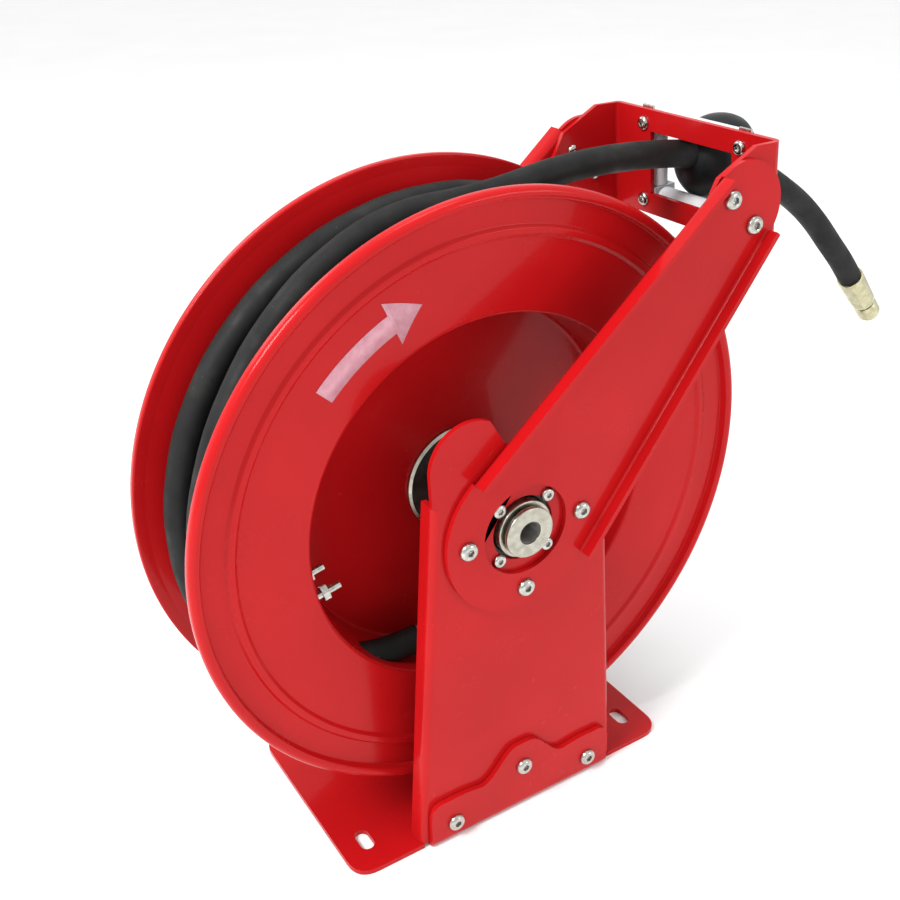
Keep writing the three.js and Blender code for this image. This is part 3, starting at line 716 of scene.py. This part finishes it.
HUB_EDGE = [(44.6, -4.95), (46.4, -3.4), (46.4, -1.4), (45.9, -1.4), (45.9, -3.6), (44.4, -5.15)]  # mm


def pressed_disc(name, side, floor, outermost):
    """A pressed disc: rolled rim, flat face with a rib, and a dished middle. Side is -1 at the front."""
    rim = outermost - BEAD
    face_y = outermost - FACE_BACK
    wall = [
        (SHAFT_HOLE, -floor, 0.3 * MM),
        (WALL_FOOT - 1 * MM, -floor, WALL_ROUND),
        (MOUTH_RADIUS - 1 * MM, MOUTH_Y, 3.6 * MM),
    ]
    rib = [(RIB_RADIUS + r * MM, face_y + y * MM, RIB_ROUND) for r, y in RIB_CORNERS]
    rib.append((DISC_RADIUS - 2 * BEAD, face_y, 0.8 * MM))
    rolled = []
    for degrees in range(140, -1, -20):
        turn = math.radians(degrees)
        rolled.append((DISC_RADIUS - BEAD + BEAD * math.cos(turn), rim + BEAD * math.sin(turn), 0))
    rolled.append((DISC_RADIUS, face_y - DISC_SHEET, 1.6 * MM))
    back = [(r, y - DISC_SHEET, rounding) for r, y, rounding in reversed(rib)]
    back += [
        (MOUTH_RADIUS + 2 * MM, MOUTH_Y - DISC_SHEET, WALL_ROUND),
        (WALL_FOOT + 1.2 * MM, -floor - DISC_SHEET, WALL_ROUND),
        (SHAFT_HOLE, -floor - DISC_SHEET, 0),
    ]
    profile = [(r, side * y, rounding) for r, y, rounding in wall + rib + rolled + back]
    return turned(name, profile, PAINT, AXIS, 256)


# The arrow's angles are in degrees about the axis: its tail, its neck and its tip.
ARROW_TAIL, ARROW_NECK, ARROW_TIP = 136.4, 113.9, 107.4
ARROW_SHAFT = (178.2 * MM, 194.2 * MM)  # radii of the shaft's two sides
ARROW_BARBS = (167.9 * MM, 205.2 * MM)
ARROW_SWEEP = 1.5  # degrees that the barbs are swept back
ARROW_LIFT = 0.12 * MM
FACE_RISE = 3 * MM  # how far the disc's face rises from the mouth to the rib


def arrow_place(radius, degrees):
    """A point on the film, which follows the slightly conical face of the disc."""
    outward = (radius - MOUTH_RADIUS) / (RIB_START - MOUTH_RADIUS)
    return on_spool(degrees, radius, -(MOUTH_Y + FACE_RISE * outward) - ARROW_LIFT)


def arrow_film():
    """A plain curved arrow on the front disc, pointing the way the spool turns as hose is drawn out."""
    steps = 24
    vertices = []
    faces = []
    for i in range(steps + 1):
        degrees = ARROW_TAIL + (ARROW_NECK - ARROW_TAIL) * i / steps
        vertices += [arrow_place(radius, degrees) for radius in ARROW_SHAFT]
        if i:
            faces.append((2 * i - 2, 2 * i - 1, 2 * i + 1, 2 * i))
    first = len(vertices)
    heads = 8
    middle_radius = sum(ARROW_SHAFT) / 2
    for i in range(heads + 1):
        t = i / heads
        degrees = ARROW_NECK + (ARROW_TIP - ARROW_NECK) * t + ARROW_SWEEP * (1 - t)
        for barb in ARROW_BARBS:
            vertices.append(arrow_place(barb + (middle_radius - barb) * t, degrees))
        if i:
            here = first + 2 * i
            faces.append((here - 2, here - 1, here + 1, here))
    film = new_object("arrow_film", vertices, faces, DECAL)
    film.data.flip_normals()
    thick = film.modifiers.new("thick", "SOLIDIFY")
    thick.thickness = 0.1 * MM
    return film


def add_spool():
    front = pressed_disc("dished_front_disc", -1, FRONT_FLOOR, -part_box("front_disc")[0].y)
    rear = pressed_disc("dished_rear_disc", 1, -REAR_FLOOR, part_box("rear_disc")[1].y)
    stands_for(front, "spool", "front_disc")
    stands_for(rear, "spool", "rear_disc")
    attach(arrow_film(), "spool")
    inner = DRUM_RADIUS - DRUM_SHEET
    drum_profile = [
        (inner, -DRUM_HALF, 0),
        (DRUM_RADIUS, -DRUM_HALF, 0.4 * MM),
        (DRUM_RADIUS, DRUM_HALF, 0.4 * MM),
        (inner, DRUM_HALF, 0),
    ]
    stands_for(turned("drum_tube", drum_profile, PAINT), "spool", "drum_shell")
    stands_for(turned("hub_plate", millimetres(HUB_PLATE), DARK), "spool", "hub_flange")
    edge_profile = millimetres([(r, y, 0) for r, y in HUB_EDGE])
    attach(turned("hub_edge", edge_profile, STEEL), "spool")


add_spool()

# ---------- sheet metal ----------

BEND = 6 * MM  # outer radius of the folds
LEG = 3 * MM  # overlap of a fold with the flat sheet on either side of it
RELIEF = 0.05 * MM  # slit left at a fold's ends
FOLD_STEPS = 8
FRONTWARD = Vector((0, -1, 0))


def fold(start, end, outward, lip_way, thick, reach):
    """A bent strip along the sharp outer corner it rounds off: a short leg, the bend and a lip."""
    section = [(BEND + LEG, 0), (BEND, 0)]
    for i in range(1, FOLD_STEPS + 1):
        turn = math.radians(270 - 90 * i / FOLD_STEPS)
        section.append((BEND + BEND * math.cos(turn), BEND + BEND * math.sin(turn)))
    section += [(0, reach), (thick, reach)]
    inner = BEND - thick
    for i in range(FOLD_STEPS + 1):
        turn = math.radians(180 + 90 * i / FOLD_STEPS)
        section.append((BEND + inner * math.cos(turn), BEND + inner * math.sin(turn)))
    section.append((BEND + LEG, thick))
    along = (end - start).normalized()
    rings = []
    for place in (start + along * RELIEF, end - along * RELIEF):
        rings.append([place - outward * u + lip_way * v for u, v in section])
    return swept("fold", rings, PAINT)


def flat_way(degrees):
    return Vector((math.cos(math.radians(degrees)), 0, math.sin(math.radians(degrees))))


def in_plan(point):
    return (point.x, point.z)


def hole(place, radius):
    """A cutter along Y, long enough to pass through one sheet."""
    reach = FRONTWARD * 30 * MM
    return rod("hole", place + reach, place - reach, radius, PAINT, 48)


TIP_BOLTS = [middle("front_tip_bolt_1"), middle("front_tip_bolt_2")]
ARM_TIP = (TIP_BOLTS[0] + TIP_BOLTS[1]) / 2
ARM_TIP.y = 0
ARM_LIP = -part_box("front_arm")[0].y - ARM_BACK
ARM_HUB_ROUND = 70 * MM
ARM_TIP_ROUND = 37 * MM
ARM_TIP_SHIFT = 2.5 * MM  # from between the tip's bolts to the centre of its round end
ARM_HUB_HOLE = 37.5 * MM


def folded_arm():
    """The front guide arm: a tapering plate, round at both ends, with a lip folded up along each side."""
    reach = ARM_TIP - AXIS
    round_end = ARM_TIP + reach.normalized() * ARM_TIP_SHIFT
    angle = math.degrees(math.atan2(reach.z, reach.x))
    taper = math.degrees(math.asin((ARM_HUB_ROUND - ARM_TIP_ROUND) / reach.length))
    upper = angle + 90 - taper
    lower = angle - 90 + taper
    back = FRONTWARD * ARM_BACK
    folds = []
    edges = []
    for way, first, last in ((upper, round_end, AXIS), (lower, AXIS, round_end)):
        outward = flat_way(way)
        radii = [ARM_TIP_ROUND if place is round_end else ARM_HUB_ROUND for place in (first, last)]
        start = first + outward * radii[0]
        end = last + outward * radii[1]
        folds.append(fold(start + back, end + back, outward, FRONTWARD, SHEET, ARM_LIP))
        edges.append([in_plan(start - outward * BEND), in_plan(end - outward * BEND)])
    plan = arc(round_end.x, round_end.z, ARM_TIP_ROUND, lower, upper, 28)
    plan += edges[0]
    plan += arc(AXIS.x, AXIS.z, ARM_HUB_ROUND, upper, lower + 360, 56)
    plan += edges[1]
    plate = upright("plate", plan, -ARM_BACK - SHEET, -ARM_BACK, PAINT)
    return fused("folded_front_arm", [plate, *folds], [hole(AXIS + back, ARM_HUB_HOLE)])


PEDESTAL_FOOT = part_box("front_pedestal")[0].z
PEDESTAL_HALF = 101 * MM  # half width where the side would meet the floor
PEDESTAL_SLOPE = 0.0695
PEDESTAL_FOLD_TOP = 324 * MM
PEDESTAL_LIP = 16 * MM
PEDESTAL_HUB_HOLE = 27 * MM
LOBE_AT = 45 * MM
LOBE_ROUND = 34.5 * MM
LOBE_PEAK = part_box("front_pedestal")[1].z
SADDLE = 352 * MM
SADDLE_CORNERS = [(16 * MM, SADDLE + 6 * MM), (7 * MM, SADDLE + 1 * MM)]
LOBE_SWEEP = 118  # degrees of each lobe's arc, from its outer side to the saddle


def folded_pedestal():
    """The front pedestal: a tapering plate with two rounded lobes on top and its sides folded inwards."""
    front = FRONTWARD * PEDESTAL_FACE
    folds = []
    right = []
    for side in (1, -1):
        outward = Vector((side, 0, PEDESTAL_SLOPE)).normalized()
        ends = []
        for z in (PEDESTAL_FOOT, PEDESTAL_FOLD_TOP):
            ends.append(Vector((side * (PEDESTAL_HALF - PEDESTAL_SLOPE * z), 0, z)))
        folds.append(fold(ends[0] + front, ends[1] + front, outward, -FRONTWARD, SHEET, PEDESTAL_LIP))
        if side > 0:
            right = [in_plan(end - outward * BEND) for end in ends] + [in_plan(ends[1])]
    right += arc(LOBE_AT, LOBE_PEAK - LOBE_ROUND, LOBE_ROUND, 0, LOBE_SWEEP, 24)
    right += SADDLE_CORNERS
    left = [(-x, z) for x, z in reversed(right)]
    plate = upright("plate", right + left, -PEDESTAL_FACE, -PEDESTAL_FACE + SHEET, PAINT)
    return fused("folded_front_pedestal", [plate, *folds], [hole(AXIS + front, PEDESTAL_HUB_HOLE)])


FLANGE_HALF = 92 * MM
FLANGE_ROUND = 12 * MM
LOW_LOBE_AT = 67 * MM
LOW_LOBE_TOP = 45 * MM
MIDDLE_TOP = 70 * MM
MIDDLE_FLAT = 6 * MM
MIDDLE_FOOT = 42 * MM
FLANGE_DIP = 42.5 * MM
RELIEF_WIDTH = 5 * MM
RELIEF_DEPTH = 7 * MM
NOTCH_ROUND = 1 * MM
BASE_CORNER = 20 * MM
BASE_EDGE = 95 * MM
SLOT_AT = (137 * MM, 63 * MM)
SLOT_HALF = 5 * MM
SLOT_ROUND = 6 * MM


def flange_top(x):
    """Height of the base's bent-up flange: a low lobe near each end and a higher one in the middle."""
    away = abs(x)
    into_round = FLANGE_ROUND - (FLANGE_HALF - away)
    if into_round > 0:
        return LOW_LOBE_TOP - FLANGE_ROUND + math.sqrt(max(FLANGE_ROUND**2 - into_round**2, 0))
    if away > MIDDLE_FOOT:
        from_lobe = (away - LOW_LOBE_AT) / (MIDDLE_FOOT - LOW_LOBE_AT)
        return LOW_LOBE_TOP - (LOW_LOBE_TOP - FLANGE_DIP) * from_lobe**2
    down_slope = max(away - MIDDLE_FLAT, 0) / (MIDDLE_FOOT - MIDDLE_FLAT)
    return FLANGE_DIP + (MIDDLE_TOP - FLANGE_DIP) * (1 + math.cos(math.pi * down_slope)) / 2


def folded_base():
    """The base plate with four slots and a lobed flange bent up along the foot of each pedestal."""
    half_x = BASE_HIGH.x
    bend_line = FLANGE_FACE - BEND
    notch = bend_line - RELIEF_DEPTH
    far = FLANGE_HALF + RELIEF_WIDTH
    quarter = [
        (half_x, -BASE_EDGE, BASE_CORNER),
        (far, -BASE_EDGE, NOTCH_ROUND),
        (far, -notch, NOTCH_ROUND),
        (FLANGE_HALF, -notch, NOTCH_ROUND),
        (FLANGE_HALF, -bend_line, 0),
    ]
    front_edge = [(-x, y, r) for x, y, r in quarter] + quarter[::-1]
    rear_edge = [(x, -y, r) for x, y, r in reversed(front_edge)]
    pieces = [level("plate", rounded(front_edge + rear_edge, 8), 0, BASE_THICK, PAINT)]
    count = 64
    xs = [FLANGE_HALF - 2 * FLANGE_HALF * i / count for i in range(count + 1)]
    flange = [(x, flange_top(x)) for x in xs] + [(-FLANGE_HALF, BEND), (FLANGE_HALF, BEND)]
    for side in (-1, 1):
        outward = Vector((0, side, 0))
        ends = [Vector((x, side * FLANGE_FACE, 0)) for x in (-FLANGE_HALF, FLANGE_HALF)]
        pieces.append(fold(ends[0], ends[1], outward, Vector((0, 0, 1)), BASE_THICK, BEND + LEG))
        ys = sorted((side * FLANGE_FACE, side * (FLANGE_FACE - BASE_THICK)))
        pieces.append(upright("flange", flange, ys[0], ys[1], PAINT))
    slots = []
    for x in (-SLOT_AT[0], SLOT_AT[0]):
        for y in (-SLOT_AT[1], SLOT_AT[1]):
            outline = arc(x, y + SLOT_HALF, SLOT_ROUND, 0, 180, 12)
            outline += arc(x, y - SLOT_HALF, SLOT_ROUND, 180, 360, 12)
            slots.append(level("slot", outline, -5 * MM, 10 * MM, PAINT))
    return fused("folded_base", pieces, slots)


# The bracket's plate leans back; its own frame has x square to the plate and z along it.
LEAN_SLOPE = 0.083
LEAN = math.atan(LEAN_SLOPE)
BRACKET_X = Vector((math.cos(LEAN), 0, math.sin(LEAN)))
BRACKET_Z = Vector((-math.sin(LEAN), 0, math.cos(LEAN)))
WINDOW_Z = 493 * MM
PLATE_AT_FLOOR = 273.8 * MM  # x where the plate's back would meet the floor
BRACKET_MIDDLE = Vector((PLATE_AT_FLOOR - LEAN_SLOPE * WINDOW_Z, 0, WINDOW_Z))
BRACKET_LOW, BRACKET_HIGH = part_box("roller_bracket")
BRACKET_HALF_Z = (BRACKET_HIGH.z - BRACKET_LOW.z) / 2 / math.cos(LEAN)
WINDOW_HALF = (47.5 * MM, 27 * MM)
EAR_TOP = 20 * MM  # length of the ear's level top
EAR_BACK = [(172, 519), (161, 497), (164, 474), (184, 453)]  # (x, z) of the ear's back edge, mm
EAR_FOOT = 196 * MM
BRACKET_CORNER = 14 * MM  # cut off the plate's lower front corner, behind the arm
SCREW_AT = (56 * MM, 33 * MM)


def on_bracket(x, y, z):
    return BRACKET_MIDDLE + BRACKET_X * x + Vector((0, y, 0)) + BRACKET_Z * z


def bracket_prism(name, x0, x1, corners, material=PAINT):
    rings = [[on_bracket(x, y, z) for y, z in corners] for x in (x0, x1)]
    return swept(name, rings, material)


def bracket_slab(name, x0, x1, half_y, half_z, centre=(0, 0), material=PAINT):
    y, z = centre
    corners = [(y + way_y * half_y, z + way_z * half_z) for way_y, way_z in SQUARE]
    return bracket_prism(name, x0, x1, corners, material)


def folded_bracket():
    """The roller bracket: a windowed plate with an ear folded back at each side."""
    half_y = BRACKET_HIGH.y
    flat_y = half_y - BEND
    top = BRACKET_HALF_Z
    foot = {-1: BRACKET_CORNER - top, 1: -top}
    corners = [(-flat_y + BRACKET_CORNER, -top), (flat_y, -top)]
    corners += [(flat_y, top), (-flat_y, top), (-flat_y, foot[-1])]
    pieces = [bracket_prism("plate", 0, SHEET, corners)]
    for side in (-1, 1):
        low = on_bracket(SHEET - BEND, 0, foot[side])
        high = on_bracket(SHEET - BEND, 0, top)
        ear = [in_plan(low), in_plan(high), (high.x - EAR_TOP, high.z)]
        ear += [(x * MM, z * MM) for x, z in EAR_BACK] + [(EAR_FOOT, BRACKET_LOW.z)]
        ends = [on_bracket(SHEET, side * half_y, z) for z in (foot[side], top)]
        pieces.append(fold(ends[0], ends[1], Vector((0, side, 0)), -BRACKET_X, SHEET, BEND + LEG))
        ys = sorted((side * half_y, side * (half_y - SHEET)))
        pieces.append(upright("ear", ear, ys[0], ys[1], PAINT))
    window = bracket_slab("window", -20 * MM, 20 * MM, *WINDOW_HALF)
    return fused("folded_bracket", pieces, [window], merge=False)


def add_sheet_metal():
    arm = folded_arm()
    stands_for(mirrored(arm, "folded_rear_arm"), "frame", "rear_arm")
    stands_for(arm, "frame", "front_arm")
    pedestal = folded_pedestal()
    stands_for(mirrored(pedestal, "folded_rear_pedestal"), "frame", "rear_pedestal")
    stands_for(pedestal, "frame", "front_pedestal")
    stands_for(folded_base(), "frame", "base_plate")
    stands_for(folded_bracket(), "frame", "roller_bracket")


add_sheet_metal()

# ---------- bolts and screws ----------

RING_POINTS = 48
DOME_RINGS = 7
HEAD_TAPER = 0.42  # how much narrower a button head is on top, of its radius
HEAD_BRIM = 0.14  # straight brim of a button head, of its height
SOCKET = 0.72  # across the flats of its socket, of its radius
NUT_FACE = 0.49  # radius of a nut's round face, of its width
THREAD_ROOT = 0.88  # of a thread's radius


def round_ring(radius, height):
    points = []
    for i in range(RING_POINTS):
        turn = 2 * math.pi * i / RING_POINTS
        points.append(Vector((radius * math.cos(turn), radius * math.sin(turn), height)))
    return points


def hex_ring(across_flats, height):
    points = []
    for i in range(RING_POINTS):
        degrees = 360 * i / RING_POINTS
        reach = across_flats / 2 / math.cos(math.radians((degrees + 30) % 60 - 30))
        turn = math.radians(degrees)
        points.append(Vector((reach * math.cos(turn), reach * math.sin(turn), height)))
    return points


def button_head(radius, height):
    """Rings of a domed head with a hexagonal socket, seated at z = 0."""
    rings = [round_ring(radius * 0.97, 0), round_ring(radius, height * 0.06)]
    for i in range(DOME_RINGS + 1):
        turn = math.pi / 2 * i / DOME_RINGS
        reach = radius * (1 - HEAD_TAPER * (1 - math.cos(turn)))
        rings.append(round_ring(reach, height * (HEAD_BRIM + (1 - HEAD_BRIM) * math.sin(turn))))
    flats = radius * SOCKET
    rings.append(round_ring(flats * 0.62, height * 0.985))
    rings.append(hex_ring(flats, height * 0.92))
    rings.append(hex_ring(flats, height * 0.3))
    rings.append(round_ring(flats * 0.2, height * 0.16))
    return rings


def hex_nut(across_flats, low, high):
    chamfer = 0.5 * MM
    return [
        round_ring(across_flats * NUT_FACE, high),
        hex_ring(across_flats, high - chamfer),
        hex_ring(across_flats, low + chamfer),
        round_ring(across_flats * NUT_FACE, low),
    ]


def threaded_end(radius, start, end, pitch=1.25 * MM):
    rings = []
    place = start
    while place > end + pitch:
        rings.append(round_ring(radius, place))
        rings.append(round_ring(radius * THREAD_ROOT, place - pitch / 2))
        place -= pitch
    rings.append(round_ring(radius * 0.86, end))
    return rings


def domed_end(radius, start, height):
    """The low round end of a blind rivet nut."""
    rings = []
    for i in range(DOME_RINGS):
        turn = math.pi / 2 * i / DOME_RINGS
        rings.append(round_ring(radius * math.cos(turn), start - height * math.sin(turn)))
    return rings[::-1]


def fastener(name, seat, outward, parts, spin=0.0):
    """One object of several ringed solids along an outward direction, material zinc."""
    turn = Vector((0, 0, 1)).rotation_difference(outward).to_matrix().to_4x4()
    place = Matrix.Translation(seat) @ turn @ Matrix.Rotation(spin, 4, "Z")
    vertices = []
    faces = []
    for rings in parts:
        first = len(vertices)
        count = len(rings[0])
        vertices += [place @ point for ring in rings for point in ring]
        last = len(vertices)
        faces += [tuple(range(first, first + count)), tuple(range(last - count, last))]
        for s in range(len(rings) - 1):
            for i in range(count):
                j = (i + 1) % count
                here = first + s * count
                faces.append((here + i, here + j, here + count + j, here + count + i))
    return new_object(name, vertices, faces, ZINC, 28)


M8_HEAD = 4.4 * MM
M8_RADIUS = 7.6 * MM
M8_SHANK = 4 * MM
M8_THREAD_END = 7.6 * MM
M8_NUT = 6.4 * MM
M8_NUT_FLATS = 13 * MM
M6_HEAD = 3.3 * MM
M6_RADIUS = 5.9 * MM
RIVET_NUT = (5.2 * MM, 3.4 * MM)  # radius and height of its round end
QUARTERS = [(1, 1), (-1, 1), (-1, -1), (1, -1)]
HOUSING_SCREW_AT = 22 * MM
BLOCK_HALF = (10 * MM, 6.5 * MM)
BLOCK_Z = 29.6 * MM
CLIP_HALF = (6.5 * MM, 8.5 * MM)
CLIP_Z = 38.5 * MM
BEHIND_PLATE = SHEET + 0.4 * MM


def add_bolts():
    """A button-head bolt for each bolt of the frame, each turned a little further than the last."""
    names = sorted(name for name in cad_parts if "_bolt_" in name)
    for i, name in enumerate(names):
        low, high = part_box(name)
        at_front = name.startswith("front")
        side = -1 if at_front else 1
        outer = low.y if at_front else high.y
        seat = Vector(((low.x + high.x) / 2, outer - side * M8_HEAD, (low.z + high.z) / 2))
        grip = high.y - low.y - M8_HEAD - M8_THREAD_END
        parts = [button_head(M8_RADIUS, M8_HEAD)]
        if name.startswith("rear_tip"):
            parts.append(domed_end(RIVET_NUT[0], -grip, RIVET_NUT[1]))
        else:
            parts.append(hex_nut(M8_NUT_FLATS, -grip - M8_NUT, -grip - 0.1 * MM))
            parts.append(threaded_end(M8_SHANK, -grip + 1 * MM, -grip - M8_THREAD_END))
        bolt = fastener(f"button_{name}", seat, Vector((0, side, 0)), parts, i * 0.7)
        stands_for(bolt, "frame", name)


def add_screws():
    """Four small screws round the bearing and four on the roller bracket."""
    head = button_head(M6_RADIUS, M6_HEAD)
    for i, (x, z) in enumerate(QUARTERS):
        seat = AXIS + Vector((x * HOUSING_SCREW_AT, -PEDESTAL_FACE, z * HOUSING_SCREW_AT))
        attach(fastener(f"housing_screw_{i + 1}", seat, FRONTWARD, [head], i * 0.5), "frame")
    for i, (y, z) in enumerate(QUARTERS):
        seat = on_bracket(0, y * SCREW_AT[0], z * SCREW_AT[1])
        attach(fastener(f"roller_frame_screw_{i + 1}", seat, -BRACKET_X, [head], i * 0.8), "frame")


def add_upper_blocks():
    """The two upper corner blocks, each behind a thin steel clip that just shows above the bracket."""
    for place, y in (("front", -SCREW_AT[0]), ("rear", SCREW_AT[0])):
        block = bracket_slab(f"block_{place}", BEHIND_PLATE, 19 * MM, *BLOCK_HALF, (y, BLOCK_Z), BLOCK)
        soften_edges(block, 0.8 * MM, 3)
        stands_for(block, "frame", f"corner_block_upper_{place}")
        clip = bracket_slab(f"clip_{place}", BEHIND_PLATE, 6.6 * MM, *CLIP_HALF, (y, CLIP_Z), ZINC)
        soften_edges(clip, 0.4 * MM)
        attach(clip, "frame")


add_bolts()
add_screws()
add_upper_blocks()

# ---------- inlet and bearing collar ----------


BORE = 8.3 * MM
THREAD_DEPTH = 0.75 * MM
THREAD_PITCH = 1.34 * MM
MOUTH_NECK = 15 * MM
MOUTH_NECK_LONG = 14 * MM
MOUTH_LIP = 21 * MM
COLLAR_BORE = 15.3 * MM
COLLAR_TOP = 21.4 * MM
COLLAR = [(23.6, 0, 1), (24.3, 6.4, 0.6), (21.6, 7.6, 0.5)]  # mm from the collar's front
SET_SCREW_Y = 95.2 * MM
SET_SCREW_FOOT = 22.4 * MM
SET_SCREW_RADIUS = 2.6 * MM
SET_SCREW_TOP = 1.9 * MM
SET_SCREW_FLATS = 3 * MM


def add_mouth():
    """The swivel's flanged mouth with a threaded bore; the thread is dark steel as painted shade deep in the
    bore.
    """
    low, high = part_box("inlet_swivel")
    back = high.y - MOUTH_NECK_LONG
    profile = [(MOUTH_NECK, back, 0), (MOUTH_NECK, low.y + 3.9 * MM, 0.4 * MM)]
    profile += [(MOUTH_LIP, low.y + 3.7 * MM, 0.6 * MM), (MOUTH_LIP, low.y, 1.2 * MM)]
    profile += [(BORE + 1.3 * MM, low.y, 0.3 * MM), (BORE + 1.1 * MM, low.y + 1.2 * MM, 0)]
    profile += [(BORE + 1.1 * MM, high.y, 0), (11 * MM, high.y, 0), (11 * MM, back, 0)]
    stands_for(turned("inlet_mouth", profile, STEEL, AXIS, 128), "inlet_swivel", "inlet_swivel")
    thread = [(BORE + 1.2 * MM, high.y - 0.5 * MM, 0), (BORE + 1.2 * MM, low.y + 1 * MM, 0)]
    place = low.y + 1 * MM
    while place < high.y - 2 * MM:
        thread += [(BORE, place, 0), (BORE + THREAD_DEPTH, place + THREAD_PITCH / 2, 0)]
        place += THREAD_PITCH
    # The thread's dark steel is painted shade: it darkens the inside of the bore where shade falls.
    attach(turned("inlet_thread_painted_shade", thread, DARK, AXIS, 96), "inlet_swivel")


def locking_collar():
    low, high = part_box("bearing_collar")
    profile = [(COLLAR_BORE, low.y, 0.5 * MM)]
    profile += [(r, low.y + y, rounding) for r, y, rounding in millimetres(COLLAR)]
    profile += [(COLLAR_TOP, high.y, 0.5 * MM), (COLLAR_BORE, high.y, 0)]
    return turned("locking_collar", profile, STEEL, AXIS, 128)


def add_inlet():
    add_mouth()
    stands_for(locking_collar(), "spool", "bearing_collar")
    for i, degrees in enumerate((162, 202)):
        way = flat_way(degrees)
        seat = AXIS + FRONTWARD * SET_SCREW_Y + way * SET_SCREW_FOOT
        rings = [round_ring(SET_SCREW_RADIUS, 0), round_ring(SET_SCREW_RADIUS, SET_SCREW_TOP)]
        rings += [hex_ring(SET_SCREW_FLATS, SET_SCREW_TOP), hex_ring(SET_SCREW_FLATS, 0.4 * MM)]
        screw = fastener(f"set_screw_{i + 1}", seat, way, [rings])
        screw.data.materials[0] = DARK
        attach(screw, "spool")


add_inlet()

# ---------- finish of the CAD nodes that show as they are ----------

PAINTED = ("spring_case", "spring_cover", "base_plate", "front_pedestal", "rear_pedestal")
PAINTED += ("front_arm", "rear_arm", "roller_bracket")
TURNED = ("spool_shaft", "bearing_collar", "inlet_swivel", "pawl_spring", "spring_arbor")
GREASED = ("spiral_spring", "ratchet_wheel", "pawl", "front_bearing_housing")
PREFIX_LOOKS = [("roller_pin", STEEL), ("roller", NYLON), ("corner_block", BLOCK)]


def look_of(name):
    for names, look in ((PAINTED, PAINT), (TURNED, STEEL), (GREASED, DARK)):
        if name in names:
            return look
    for prefix, look in PREFIX_LOOKS:
        if name.startswith(prefix):
            return look
    return ZINC


SOFT_NODES = ("hose_winding", "hose_lead", "hose_tail")  # replaced by the curves
CAD_EDGE = 0.3 * MM


def finish_cad_nodes():
    for name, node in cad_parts.items():
        node.data.materials.clear()
        node.data.materials.append(look_of(name))
        for face in node.data.polygons:
            face.use_smooth = True
        node.data.set_sharp_from_angle(angle=math.radians(BEVEL_FROM))
        if name not in SOFT_NODES:
            soften_edges(node, CAD_EDGE)


finish_cad_nodes()

# ---------- floor and lights ----------

FLOOR_HALF = 60
FLOOR_DROP = 0.3 * MM
LIGHT_AIM = Vector((0, 0, 0.3))
SOFTBOXES = [  # name, place, width, height, watts
    ("key", (-1.7, -0.3, 2.1), 0.8, 0.8, 58),
    ("fill", (1.5, -2.1, 1.0), 0.8, 0.6, 9),
    ("top", (0.3, 0.2, 2.4), 1.0, 0.6, 8),
    ("back", (-0.8, 2.0, 1.5), 1.2, 0.8, 8),
]


def add_floor():
    corners = [Vector((x * FLOOR_HALF, y * FLOOR_HALF, 0)) for x, y in SQUARE]
    floor = new_object("floor", corners, [(0, 1, 2, 3)], floor_material())
    floor.location.z = -FLOOR_DROP


def add_softbox(name, place, width, height, watts):
    data = bpy.data.lights.new(name, "AREA")
    data.shape = "RECTANGLE"
    data.size = width
    data.size_y = height
    data.energy = watts
    lamp = bpy.data.objects.new(name, data)
    bpy.context.collection.objects.link(lamp)
    lamp.location = place
    aim = (LIGHT_AIM - Vector(place)).normalized()
    lamp.rotation_euler = aim.to_track_quat("-Z", "Y").to_euler()


def add_lights():
    for softbox in SOFTBOXES:
        add_softbox(*softbox)
    world = bpy.data.worlds.new("studio")
    world.use_nodes = True
    background = world.node_tree.nodes["Background"]
    background.inputs["Color"].default_value = (1, 1, 1, 1)
    background.inputs["Strength"].default_value = 1.0
    bpy.context.scene.world = world
    bpy.context.scene.view_settings.view_transform = "Standard"


add_floor()
add_lights()
